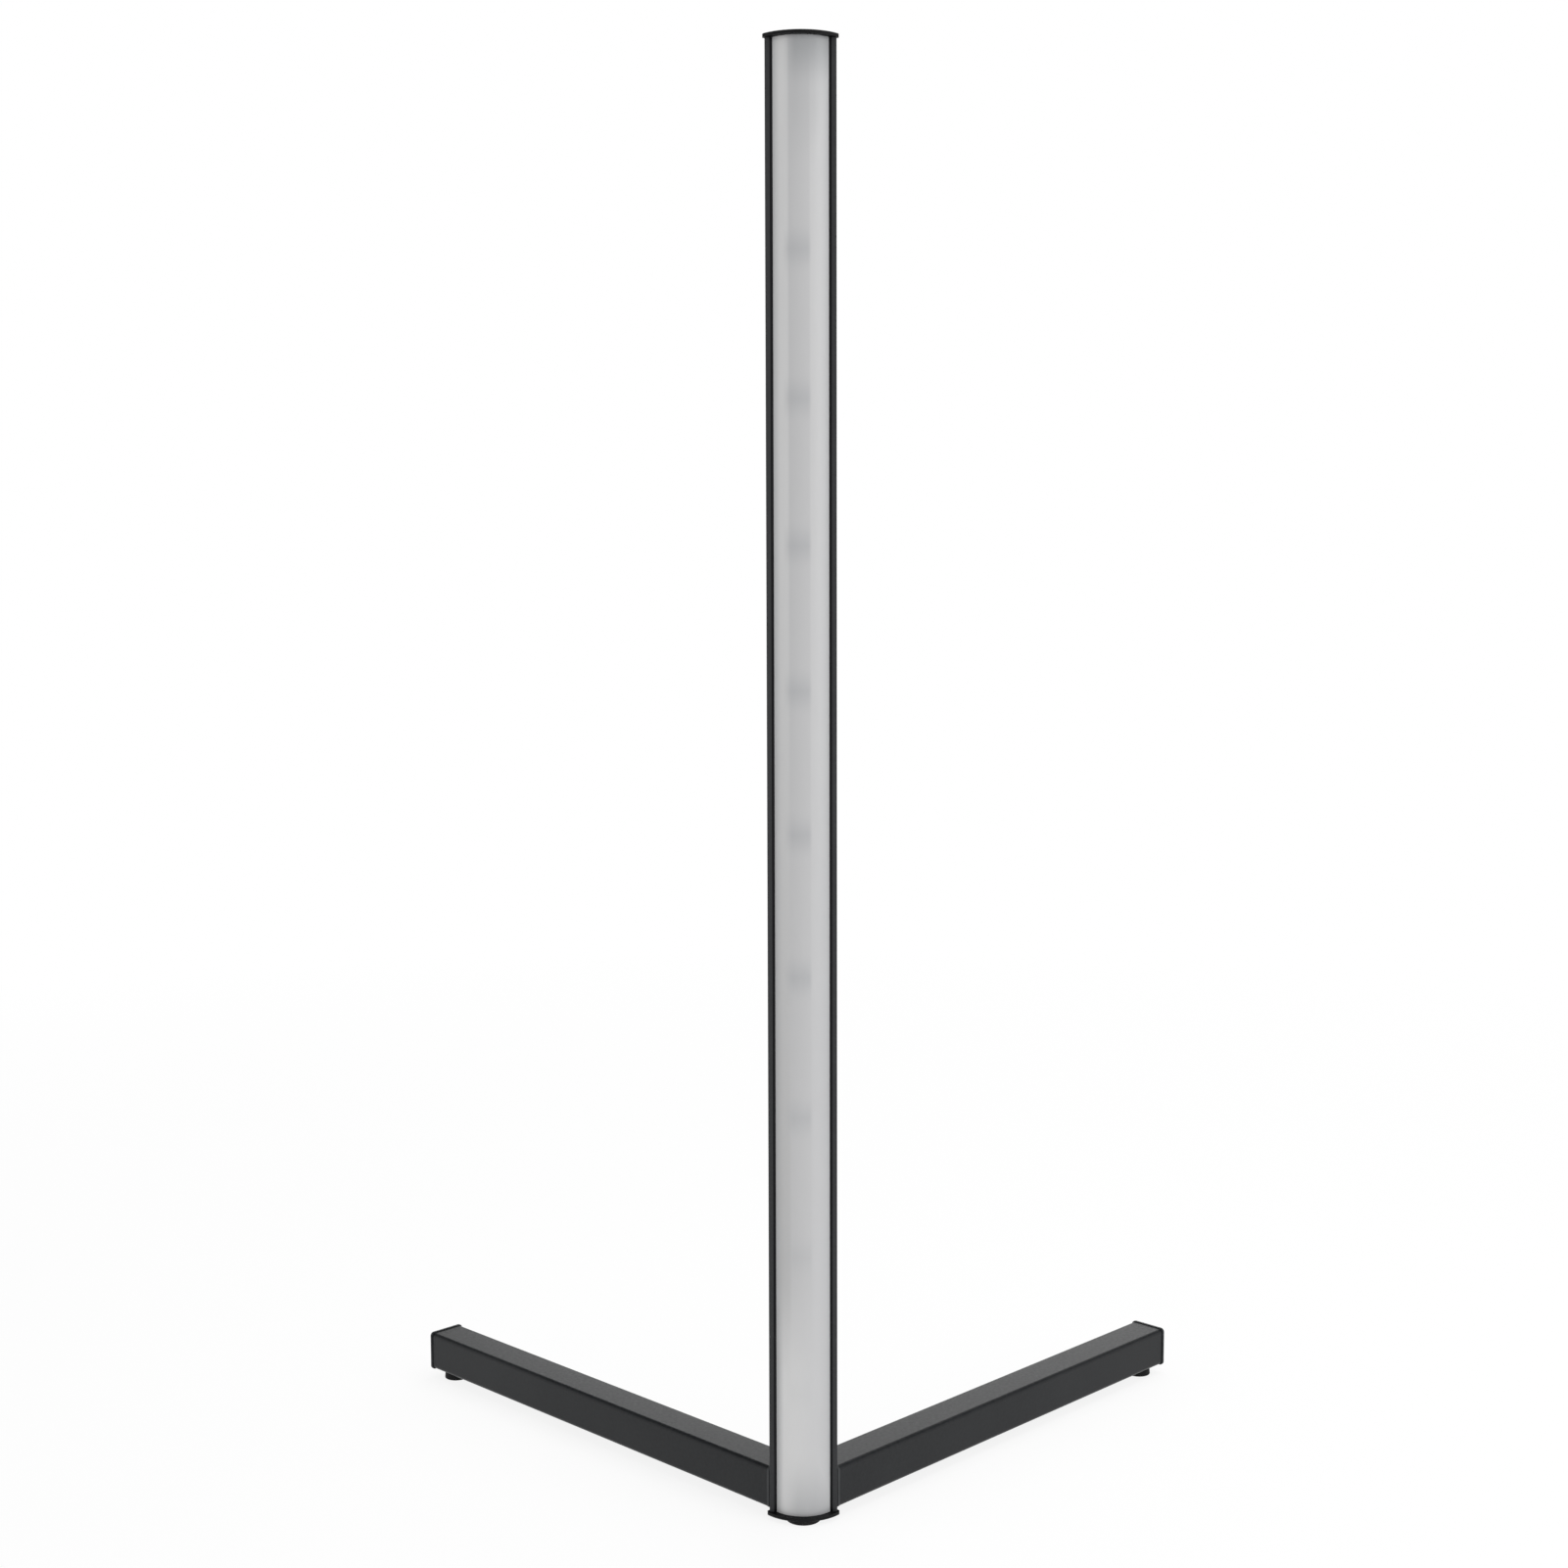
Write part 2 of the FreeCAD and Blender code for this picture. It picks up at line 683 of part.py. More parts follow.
def make_leads():
    """Two insulated leads from the strip's lower end, down, round and up the
    right side of the tape to the connector. They are drawn as fine hexagons,
    and each bend is folded in two steps."""
    lead_y = TAPE_FACE - S.lead_radius * ROOT_THREE / 2
    body = new_body("strip_leads", y=lead_y - S.foot_setback, z=POLE_BASE)
    near = CONNECTOR_X - S.lead_pitch / 2
    bend = (near - S.lead_pad) / 3
    top = S.strip_lift + S.lead_pad
    runs = ((S.lead_pad, near, S.lead_drop_near), (-S.lead_pad, near + S.lead_pitch, S.lead_drop_far))
    for pad_x, rise_x, low in runs:
        path = new_sketch(body, "XZ_Plane")
        draw_path(path, [
            (pad_x, top),
            (pad_x, low + bend),
            (pad_x + bend, low),
            (rise_x - bend, low),
            (rise_x, low + bend),
            (rise_x, S.connector_rise),
        ], closed=False)
        ring = new_sketch(body, "XY_Plane", lift=top)
        draw_hexagon(ring, pad_x, ZERO, S.lead_radius * ROOT_THREE)
        wire = body.newObject("PartDesign::AdditivePipe", "strip_leads_wire")
        wire.Profile = ring
        wire.Spine = path
        wire.Transition = "Right corner"
        doc.recompute()


def make_connector():
    """The connector that ends the two leads, open at the top for its mate,
    with a latch on its front."""
    body = new_body("lead_connector", x=CONNECTOR_X, y=TAPE_FACE - S.foot_setback,
                    z=POLE_BASE + S.connector_rise)
    half = S.connector_width / 2
    wall = S.connector_wall
    outline = new_sketch(body, "XY_Plane")
    draw_box(outline, -half, -S.connector_depth, half, ZERO)
    pad(body, outline, S.connector_length)
    socket = new_sketch(body, "XY_Plane", lift=S.connector_length)
    draw_box(socket, wall - half, wall - S.connector_depth, half - wall, -wall)
    pocket(body, socket, S.connector_length / 2)
    latch = new_sketch(body, "XZ_Plane", lift=S.connector_depth)
    draw_box(latch, half / -2, S.connector_length * 0.7, half / 2, S.connector_length * 0.85)
    pad(body, latch, wall)


def make_grommet():
    """The rubber bush that a cable passes through: a rim on each side of the
    bar's wall and a neck in its hole."""
    body = new_body("cable_grommet", x=LEG_X, y=LEG_Y, z=S.grommet_rise, turn=LEG_SIDES["right"][1])
    section = new_sketch(body, "XY_Plane")
    inside = -S.pole_wall
    neck = S.grommet_neck - S.thread_gap
    draw_path(section, [
        (inside - S.grommet_rim, S.grommet_bore),
        (S.grommet_rim, S.grommet_bore),
        (S.grommet_rim, S.grommet_flange),
        (ZERO, S.grommet_flange),
        (ZERO, neck),
        (inside, neck),
        (inside, S.grommet_flange),
        (inside - S.grommet_rim, S.grommet_flange),
    ])
    revolve(body, section, "X_Axis")


# ---------------------------------------------------------------- legs

def leg_body(side_name, part_name):
    """A sub-part of a leg: its own X runs out along the leg from the face of
    the bar, its own Z up from the leg's underside."""
    side, turn = LEG_SIDES[side_name]
    return new_body(f"{side_name}_{part_name}", x=LEG_X * side, y=LEG_Y, z=LEG_LIFT, turn=turn)


def make_leg_tube(side_name):
    """The square tube, with its screw holes underneath."""
    body = leg_body(side_name, "leg_tube")
    section = new_sketch(body, "YZ_Plane", lift=S.plug_flange)
    draw_rounded_square(section, ZERO, LEG_HALF, LEG_HALF, S.leg_corner_radius)
    draw_cut_square(section, ZERO, LEG_HALF, BORE_HALF, BORE_CORNER)
    pad(body, section, S.leg_length)
    holes = new_sketch(body, "XY_Plane")
    draw_circle(holes, S.plug_screw_rise, ZERO, S.plug_screw_radius + S.thread_gap)
    draw_circle(holes, FOOT_REACH, ZERO, S.foot_screw_radius + S.thread_gap)
    pocket(body, holes, S.leg_wall * 2, forward=True)


def make_joint_plug(side_name):
    """The moulded plug between bar and leg: a flange, a core with slots for
    two captive nuts, and recesses in its far end."""
    body = leg_body(side_name, "leg_joint_plug")
    flange = new_sketch(body, "YZ_Plane")
    draw_rounded_square(flange, ZERO, LEG_HALF, LEG_HALF, S.leg_corner_radius)
    pad(body, flange, S.plug_flange)
    core = new_sketch(body, "YZ_Plane", lift=S.plug_flange)
    core_half = BORE_HALF - S.plug_gap
    draw_cut_square(core, ZERO, LEG_HALF, core_half, BORE_CORNER)
    pad(body, core, S.plug_length)

    bolts = new_sketch(body, "YZ_Plane")
    for height in BOLT_HEIGHTS:
        draw_circle(bolts, ZERO, height, S.bolt_hole)
    pocket(body, bolts, S.bolt_length, forward=True)
    slot_half = S.nut_flats / 2 + S.nut_gap
    slots = new_sketch(body, "XZ_Plane", lift=S.nut_flats / ROOT_THREE + S.nut_gap)
    for height in BOLT_HEIGHTS:
        draw_box(slots, S.nut_rise - S.nut_gap, height - slot_half,
                 S.nut_rise + S.nut_height + S.nut_gap, height + slot_half)
    pocket(body, slots, S.leg_size)

    pilot = new_sketch(body, "XY_Plane")
    draw_circle(pilot, S.plug_screw_rise, ZERO, S.plug_screw_radius + S.thread_gap)
    pocket(body, pilot, S.plug_screw_length, forward=True)

    recesses = new_sketch(body, "YZ_Plane", lift=S.plug_flange + S.plug_length)
    inner = S.core_web / 2
    outer = core_half - S.core_web
    for across in (-1, 1):
        for up in (-1, 1):
            draw_path(recesses, [
                (inner * across, LEG_HALF + inner * up),
                (outer * across, LEG_HALF + inner * up),
                (outer * across, LEG_HALF + outer * up),
                (inner * across, LEG_HALF + outer * up),
            ])
    pocket(body, recesses, S.core_depth)


def make_leg_bolts(side_name):
    """Two low-head socket bolts, put in from inside the bar."""
    body = leg_body(side_name, "leg_bolts")
    heads = new_sketch(body, "YZ_Plane", lift=-S.pole_wall)
    for height in BOLT_HEIGHTS:
        draw_circle(heads, ZERO, height, S.bolt_head)
    pad(body, heads, S.bolt_head_height, back=True)
    shanks = new_sketch(body, "YZ_Plane", lift=-S.pole_wall)
    for height in BOLT_HEIGHTS:
        draw_circle(shanks, ZERO, height, S.bolt_radius)
    pad(body, shanks, S.bolt_length)
    sockets = new_sketch(body, "YZ_Plane", lift=-S.pole_wall - S.bolt_head_height)
    for height in BOLT_HEIGHTS:
        draw_hexagon(sockets, ZERO, height, S.bolt_socket)
    pocket(body, sockets, S.bolt_socket_depth, forward=True)


def make_leg_nuts(side_name):
    """The two hexagon nuts held in the plug."""
    body = leg_body(side_name, "leg_nuts")
    section = new_sketch(body, "YZ_Plane", lift=S.nut_rise)
    for height in BOLT_HEIGHTS:
        draw_hexagon(section, ZERO, height, S.nut_flats)
        draw_circle(section, ZERO, height, S.bolt_radius + S.thread_gap)
    pad(body, section, S.nut_height)


def turn_pan_screw(body, seat, shank, length, head, dome):
    """A pan-head screw that points up: the underside of its head at a height."""
    section = new_sketch(body, "XZ_Plane")
    draw_path(section, [
        (ZERO, seat + length),
        (ZERO, seat - dome),
        (head, seat - dome),
        (head, seat),
        (shank, seat),
        (shank, seat + length),
    ])
    revolve(body, section, "Z_Axis")
    cut_cross(body, S.recess_width, S.recess_depth, head * 0.55, lift=seat - dome, forward=True)


def make_plug_screw(side_name):
    """The small screw under the leg that holds the tube on its plug."""
    side, turn = LEG_SIDES[side_name]
    reach = S.plug_screw_rise / ROOT_TWO
    body = new_body(f"{side_name}_plug_screw", x=(LEG_X + reach) * side, y=LEG_Y + reach,
                    z=LEG_LIFT, turn=turn)
    turn_pan_screw(body, ZERO, S.plug_screw_radius, S.plug_screw_length - S.plug_gap,
                   S.plug_screw_head, S.plug_screw_dome)


def make_end_cap(side_name):
    """The moulded cap in the outer end of a leg: a head a little larger than
    the tube, and a hollow sleeve with gripping fins."""
    body = leg_body(side_name, "leg_end_cap")
    head = new_sketch(body, "YZ_Plane", lift=TUBE_END)
    draw_rounded_square(head, ZERO, LEG_HALF, LEG_HALF + S.end_oversize,
                        S.leg_corner_radius + S.end_oversize)
    block = pad(body, head, S.end_head)
    outer_face = TUBE_END + S.end_head
    chamfer(body, block, S.end_round, lambda edge: lies_at(edge, "x", outer_face))

    sleeve = new_sketch(body, "YZ_Plane", lift=TUBE_END)
    sleeve_half = BORE_HALF - S.end_inset
    draw_cut_square(sleeve, ZERO, LEG_HALF, sleeve_half, BORE_CORNER)
    draw_square(sleeve, ZERO, LEG_HALF, sleeve_half - S.end_wall)
    pad(body, sleeve, SLEEVE_LENGTH, back=True)
    for row in (1, 2, 3):
        fin = new_sketch(body, "YZ_Plane", lift=TUBE_END - S.fin_pitch * row)
        draw_cut_square(fin, ZERO, LEG_HALF, BORE_HALF - S.fin_gap, BORE_CORNER)
        draw_square(fin, ZERO, LEG_HALF, sleeve_half - S.end_wall)
        pad(body, fin, S.fin_thick)


# ---------------------------------------------------------------- feet

def foot_place(side_name):
    """The middle of an outer foot on the floor."""
    side, turn = LEG_SIDES[side_name]
    reach = FOOT_REACH / ROOT_TWO
    return {"x": (LEG_X + reach) * side, "y": LEG_Y + reach, "turn": turn}


def make_foot(side_name):
    """The rubber foot under the outer end of a leg, with a recess for its
    screw."""
    body = new_body(f"{side_name}_foot", **foot_place(side_name))
    section = new_sketch(body, "XZ_Plane")
    hole = S.foot_screw_radius + S.thread_gap
    draw_path(section, [
        (S.foot_recess, ZERO),
        (S.foot_radius, ZERO),
        (S.foot_radius, S.foot_height),
        (hole, S.foot_height),
        (hole, S.foot_recess_depth),
        (S.foot_recess, S.foot_recess_depth),
    ])
    revolve(body, section, "Z_Axis")


def make_foot_screw(side_name):
    """The screw through a foot into the tube."""
    body = new_body(f"{side_name}_foot_screw", **foot_place(side_name))
    turn_pan_screw(body, S.foot_recess_depth, S.foot_screw_radius, S.foot_screw_length,
                   S.foot_screw_head, S.foot_screw_dome)


def make_apex_foot():
    """The round pad stuck under the bottom plate."""
    body = new_body("apex_foot")
    section = new_sketch(body, "XZ_Plane")
    draw_path(section, [
        (ZERO, ZERO),
        (S.apex_foot_radius, ZERO),
        (S.apex_foot_radius, S.apex_foot_height),
        (ZERO, S.apex_foot_height),
    ])
    revolve(body, section, "Z_Axis")


# ---------------------------------------------------------------- the lamp

def make_lamp():
    """Every sub-part of the lamp."""
    make_pole_profile()
    make_diffuser()
    make_end_plate("top_cap", POLE_TOP, S.cap_thick, on_top=True)
    make_cap_screw("top_cap_screw", POLE_TOP + S.cap_thick, upside_down=False)
    make_end_plate("bottom_plate", POLE_BASE, S.plate_thick, on_top=False)
    make_cap_screw("bottom_plate_screw", S.apex_foot_height, upside_down=True)
    make_strip_tape()
    make_diodes()
    make_driver_chips()
    make_resistors()
    make_leads()
    make_connector()
    make_grommet()
    for side_name in LEG_SIDES:
        make_leg_tube(side_name)
        make_joint_plug(side_name)
        make_leg_bolts(side_name)
        make_leg_nuts(side_name)
        make_plug_screw(side_name)
        make_end_cap(side_name)
        make_foot(side_name)
        make_foot_screw(side_name)
    make_apex_foot()


def check_and_write():
    """Checks every object, then writes each sub-part to a file of its own."""
    doc.recompute()
    for thing in doc.Objects:
        if "Invalid" in thing.State or "Error" in thing.State:
            raise ValueError(f"{thing.Name} of the document failed")
    bodies = [thing for thing in doc.Objects if thing.TypeId == "PartDesign::Body"]
    for body in bodies:
        if body.Shape.isNull() or not body.Shape.isValid() or not body.Shape.Solids:
            raise ValueError(f"{body.Label} has no valid shape")
    os.makedirs("parts", exist_ok=True)
    for body in bodies:
        body.Shape.exportStep(f"parts/{body.Label}.step")
        count = len(body.Shape.Solids)
        print(f"{body.Label}: {count} solids, {body.Shape.Volume / 1000:.2f} cm3")


make_sheet()
make_lamp()
check_and_write()
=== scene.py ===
# %% [markdown]
# # A corner floor lamp
# This lesson dresses the CAD model of a corner floor lamp: an upright black
# light bar with a bowed milky cover, on two square-tube legs that stand at a
# right angle. Here a few of them are made again with softer forms, and every
# surface gets its finish.

# %% Load the lamp
import json
import math
import bmesh
import bpy
from mathutils import Matrix, Vector

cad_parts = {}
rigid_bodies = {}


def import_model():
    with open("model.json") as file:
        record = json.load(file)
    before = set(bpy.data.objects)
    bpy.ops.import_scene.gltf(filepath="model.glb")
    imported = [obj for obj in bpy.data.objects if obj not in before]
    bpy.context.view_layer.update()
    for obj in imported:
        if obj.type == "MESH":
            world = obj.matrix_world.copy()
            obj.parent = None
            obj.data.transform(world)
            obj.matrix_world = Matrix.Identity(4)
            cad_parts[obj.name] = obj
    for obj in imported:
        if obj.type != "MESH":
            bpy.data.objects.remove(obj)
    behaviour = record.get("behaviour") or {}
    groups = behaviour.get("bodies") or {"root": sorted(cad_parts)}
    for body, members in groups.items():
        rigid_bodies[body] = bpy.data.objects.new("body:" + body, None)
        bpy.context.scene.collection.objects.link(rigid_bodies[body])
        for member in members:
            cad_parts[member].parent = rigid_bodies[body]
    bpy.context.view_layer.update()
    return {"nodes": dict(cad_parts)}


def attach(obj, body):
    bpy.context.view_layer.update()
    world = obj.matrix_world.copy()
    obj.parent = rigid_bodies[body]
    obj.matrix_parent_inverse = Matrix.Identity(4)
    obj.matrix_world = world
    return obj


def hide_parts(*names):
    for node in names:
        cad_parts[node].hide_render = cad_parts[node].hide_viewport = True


for thing in list(bpy.data.objects):
    bpy.data.objects.remove(thing)
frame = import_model()
nodes = frame["nodes"]

# %% [markdown]
# ## Sizes
# The lamp was drawn in millimetres, so the lesson keeps them too, and turns
# them to metres where a tool needs them. These few sizes, which several pieces
# share, are those of the CAD model. The origin is on the floor under the front
# foot, +Z is up and the light faces -Y.

# %% Sizes of the lamp
MM = 0.001
LIPS_Y = -1.0               # front plane of the bar's lips
BAR_FOOT = 5.5              # lower end of the bar
BAR_TOP = 1021.5            # upper end of the bar
BAR_HEIGHT = BAR_TOP - BAR_FOOT
BAR_WALL = 1.5
LEG_SIZE = 30.0             # outside of the square tube
LEG_FOOT = 7.5              # underside of a leg above the floor
LEG_START = 2.0             # the tube begins this far from the bar
LEG_END = 396.0             # and ends this far from it
LEG_ROOT = (13.888, 10.612) # where a leg's middle line leaves the bar
SIDES = {"left": (-1, 135.0), "right": (1, 45.0)}   # sign of X, turn of the leg

# %% [markdown]
# ## A few small helpers
# So each new piece starts from an empty selection. Faces are then picked in
# code, by where they lie or which way they look, as a hand would pick them
# with the mouse.

# %% Helpers for shaping a piece
CLOSE = 0.01                # millimetres: two places this near are the same
ALIGNED = 0.9               # of a normal: the face looks along that axis
CENTRAL = 0.5               # millimetres: a round face this near the axis is on it
SLACK = 0.1                 # millimetres: less than any wall or step of a piece
WELD = 0.00001              # metres: vertices this near become one


def start_piece(name, add_shape, **settings):
    """Adds a primitive with nothing else selected, and enters edit mode."""
    bpy.ops.object.select_all(action="DESELECT")
    add_shape(**settings)
    piece = bpy.context.object
    piece.name = name
    bpy.ops.object.transform_apply(location=True, rotation=True, scale=True)
    bpy.ops.object.mode_set(mode="EDIT")
    return piece


def pick(piece, kind, wanted):
    """Selects the faces or edges for which wanted(part) is true."""
    bpy.ops.mesh.select_mode(type={"faces": "FACE", "edges": "EDGE"}[kind])
    mesh = bmesh.from_edit_mesh(piece.data)
    for part in mesh.verts[:] + mesh.edges[:] + mesh.faces[:]:
        part.select = False
    chosen = [part for part in getattr(mesh, kind) if wanted(part)]
    for part in chosen:
        part.select_set(True)
    mesh.select_flush_mode()
    bmesh.update_edit_mesh(piece.data)
    return len(chosen)


def centre(part):
    """The middle of a face or an edge, in millimetres."""
    points = [vert.co for vert in part.verts]
    return sum(points, Vector()) / len(points) / MM


def extrude(x=0.0, y=0.0, z=0.0):
    """Extrudes what is selected by a distance in millimetres."""
    bpy.ops.mesh.extrude_region_move(
        TRANSFORM_OT_translate={"value": (x * MM, y * MM, z * MM)})


def finish_piece(piece, node, smooth_under=35.0):
    """Closes edit mode, turns the faces outwards and sets the shading, with
    normals weighted by area so that big flats stay flat beside a bevel. Then
    the piece stands for its CAD node, which is hidden."""
    bpy.ops.mesh.select_all(action="SELECT")
    bpy.ops.mesh.remove_doubles(threshold=WELD)
    bpy.ops.mesh.normals_make_consistent(inside=False)
    bpy.ops.object.mode_set(mode="OBJECT")
    bpy.ops.object.shade_smooth_by_angle(angle=math.radians(smooth_under))
    bpy.ops.object.mode_set(mode="EDIT")
    bpy.ops.mesh.select_all(action="SELECT")
    bpy.ops.mesh.average_normals(average_type="FACE_AREA")
    bpy.ops.object.mode_set(mode="OBJECT")
    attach(piece, "root")
    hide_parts(node)
    print(piece.name, "has", len(piece.data.polygons), "faces")


def settle(piece, turn, x, y, z):
    """Turns a finished mesh about Z and moves it to its place, in the mesh, so
    that its object stays at the origin."""
    spin = Matrix.Rotation(math.radians(turn), 4, "Z")
    piece.data.transform(Matrix.Translation(Vector((x, y, z)) * MM) @ spin)
    piece.data.update()


# %% [markdown]
# ## The milky cover
# The real cover is extruded: one bowed sheet of 1.5 mm plastic with a short
# wall down each side that snaps behind the bar's lips. It could be a curved
# grid with a thickness modifier, but spinning a thin upright strip round the
# middle of the bow gives both faces at once, and a true arc. The strip is as
# thick as the wall and stands at the left end of the bow.

# %% Make the cover's first strip
COVER_HALF = 18.8           # half its width
COVER_BULGE = 8.2           # how far it stands out before the lips
COVER_WALL = 1.5
COVER_STEPS = 40            # facets round the bow
HOOK_START = 2.35           # behind the lips
HOOK_LENGTH = 1.5
HOOK_REACH = 0.6

bow = (COVER_HALF ** 2 + COVER_BULGE ** 2) / (2 * COVER_BULGE)
bow_middle = LIPS_Y + bow - COVER_BULGE
half_angle = math.asin(COVER_HALF / bow)
cover = start_piece("diffuser_cover", bpy.ops.mesh.primitive_plane_add, size=1.0,
                    rotation=(math.radians(90), 0, 0))
bpy.ops.mesh.select_all(action="SELECT")
bpy.ops.transform.resize(value=(COVER_WALL * MM, 1, BAR_HEIGHT * MM))
bpy.ops.transform.translate(value=((COVER_WALL / 2 - bow) * MM, bow_middle * MM,
                                   (BAR_FOOT + BAR_HEIGHT / 2) * MM))
bpy.ops.transform.rotate(value=half_angle - math.radians(90), orient_axis="Z",
                         center_override=(0, bow_middle * MM, 0))
corners = [tuple(round(v / MM, 2) for v in vert.co)
           for vert in bmesh.from_edit_mesh(cover.data).verts]
print("first strip of the cover:", corners)

# %% [markdown]
# Spin sweeps the strip along the bow. On the real cover the side walls and
# their snap hooks run its whole length, as they come out of the same die. They
# could be pieces of their own, but the bow's two end faces are there to be
# extruded back as the side walls, and a ridge is drawn out of each as the hook.

# %% Spin the strip, then draw out the side walls and hooks
bpy.ops.mesh.spin(steps=COVER_STEPS, angle=-2 * half_angle, axis=(0, 0, 1),
                  center=(0, bow_middle * MM, 0))


def is_cover_end(face):
    """The two ends are as wide as the wall, the facets between are narrower."""
    return face.calc_area() > (COVER_WALL - SLACK) * BAR_HEIGHT * MM * MM


found = pick(cover, "faces", is_cover_end)
print("end faces of the cover:", found)
extrude(y=HOOK_START)
extrude(y=HOOK_LENGTH)
for side in (-1, 1):
    pick(cover, "faces", lambda face: abs(centre(face).x - COVER_HALF * side) < SLACK
         and centre(face).y > LIPS_Y + HOOK_START)
    extrude(x=HOOK_REACH * side)
finish_piece(cover, "diffuser")

# %% [markdown]
# ## The leg tubes
# Each leg is a length of stock steel tube, 30 mm square with a wall of 1.5 mm
# and rounded corners, as it leaves the rolls of the tube mill. A long cube
# becomes one with a bevel along its four long edges. Both ends are inset by
# the wall's thickness, the inner faces are deleted, and bridging the two
# open rims makes the bore. The corners are drawn 0.7 mm rounder than the CAD
# model's, so that they catch the light as the real ones do.

# %% Make the two tubes
LEG_WALL = 1.5
LEG_CORNER = 3.2
CORNER_STEPS = 6            # facets round each corner
LONG_EDGE = 100.0           # only the four edges along a leg are longer


def run_along_x(edge):
    """How far an edge runs along X, in millimetres."""
    return abs(edge.verts[0].co.x - edge.verts[1].co.x) / MM


def inset(thickness):
    """Insets what is selected by a thickness in millimetres."""
    bpy.ops.mesh.inset(thickness=thickness * MM)


def round_off(radius, segments=3):
    """Bevels the selected edges by a radius in millimetres."""
    bpy.ops.mesh.bevel(offset=radius * MM, segments=segments, affect="EDGES")


def bridge_open_rims(piece):
    """Joins the two open rims of a piece, which makes its bore."""
    pick(piece, "edges", lambda edge: edge.is_boundary)
    bpy.ops.mesh.bridge_edge_loops()


def make_tube(side_name):
    side, turn = SIDES[side_name]
    length = LEG_END - LEG_START
    middle = Vector((LEG_START + length / 2, 0, LEG_FOOT + LEG_SIZE / 2))
    piece = start_piece(side_name + "_tube", bpy.ops.mesh.primitive_cube_add, size=1.0,
                        location=middle * MM,
                        scale=(length * MM, LEG_SIZE * MM, LEG_SIZE * MM))
    pick(piece, "edges", lambda edge: run_along_x(edge) > LONG_EDGE)
    round_off(LEG_CORNER, CORNER_STEPS)
    ends = pick(piece, "faces", lambda face: abs(face.normal.x) > ALIGNED)
    inset(LEG_WALL)
    bpy.ops.mesh.delete(type="ONLY_FACE")
    bridge_open_rims(piece)
    finish_piece(piece, side_name + "_leg_tube")
    settle(piece, turn, LEG_ROOT[0] * side, LEG_ROOT[1], 0)
    print(side_name, "tube:", ends, "ends opened")


for side_name in SIDES:
    make_tube(side_name)

# %% [markdown]
# ## The rubber feet
# The outer feet are moulded rubber bumpers, each held by one screw in a
# recess. A cylinder is drawn in a little at the top, its sole gets a rounded
# rim, a moulded ring groove and the screw's recess by inset and extrude, and
# the screw hole is bridged through. A lathe profile would give the same body,
# but the inset keeps each step easy to see.

# %% Make the outer feet
FOOT_REACH = 383.0          # along the leg, from the bar to its foot
FOOT_SIDES = 48             # facets round a foot
FOOT_RADIUS = 10.0
FOOT_TOP_RADIUS = 9.2
FOOT_ROUND = 0.8
RING_OUTER = 7.8
RING_INNER = 7.0
RING_DEPTH = 0.4
RECESS_RADIUS = 4.4
RECESS_DEPTH = 3.6
HOLE_RADIUS = 2.05


def on_floor(edge):
    """Whether both ends of an edge lie on the floor."""
    return all(vert.co.z < CLOSE * MM for vert in edge.verts)


def is_disc(face):
    """Whether a face lies flat and has the foot's middle line at its centre."""
    return abs(face.normal.z) > ALIGNED and centre(face).xy.length < CENTRAL


def is_disc_at(height):
    """The same for the one face at a height."""
    return lambda face: is_disc(face) and abs(centre(face).z - height) < CLOSE


def is_ring(face):
    """The narrow ring on the sole that becomes the groove."""
    return abs(centre(face).z) < CLOSE and RING_INNER < centre(face).xy.length < RING_OUTER


def make_foot(side_name):
    side, turn = SIDES[side_name]
    piece = start_piece(side_name + "_rubber_foot", bpy.ops.mesh.primitive_cylinder_add,
                        vertices=FOOT_SIDES, radius=FOOT_RADIUS * MM, depth=LEG_FOOT * MM,
                        location=(0, 0, LEG_FOOT / 2 * MM))
    pick(piece, "faces", is_disc_at(LEG_FOOT))
    narrowed = FOOT_TOP_RADIUS / FOOT_RADIUS
    bpy.ops.transform.resize(value=(narrowed, narrowed, 1))
    inset(FOOT_TOP_RADIUS - HOLE_RADIUS)
    pick(piece, "edges", on_floor)
    round_off(FOOT_ROUND)
    radius = FOOT_RADIUS - FOOT_ROUND
    for smaller in (RING_OUTER, RING_INNER, RECESS_RADIUS):
        pick(piece, "faces", is_disc_at(0))
        inset(radius - smaller)
        radius = smaller
    pick(piece, "faces", is_disc_at(0))
    extrude(z=RECESS_DEPTH)
    inset(RECESS_RADIUS - HOLE_RADIUS)
    pick(piece, "faces", is_disc)
    bpy.ops.mesh.delete(type="ONLY_FACE")
    bridge_open_rims(piece)
    pick(piece, "faces", is_ring)
    extrude(z=RING_DEPTH)
    finish_piece(piece, side_name + "_foot")
    reach = FOOT_REACH / math.sqrt(2)
    settle(piece, turn, (LEG_ROOT[0] + reach) * side, LEG_ROOT[1] + reach, 0)


for side_name in SIDES:
    make_foot(side_name)

# %% [markdown]
# ## The front foot
# Under the bottom plate sits a plain stick-on rubber pad, cut from a moulded
# sheet. A low cylinder with its lower rim rounded and a shallow dish pressed
# into the sole is all it needs.

# %% Make the front foot
PAD_SIDES = 64
PAD_RADIUS = 12.5
PAD_HEIGHT = 3.0
PAD_ROUND = 0.7
DISH_RIM = 4.0              # width of the ring that stands on the floor
DISH_DEPTH = 0.3
DISH_SLOPE = 0.95           # the dish narrows to this as it deepens

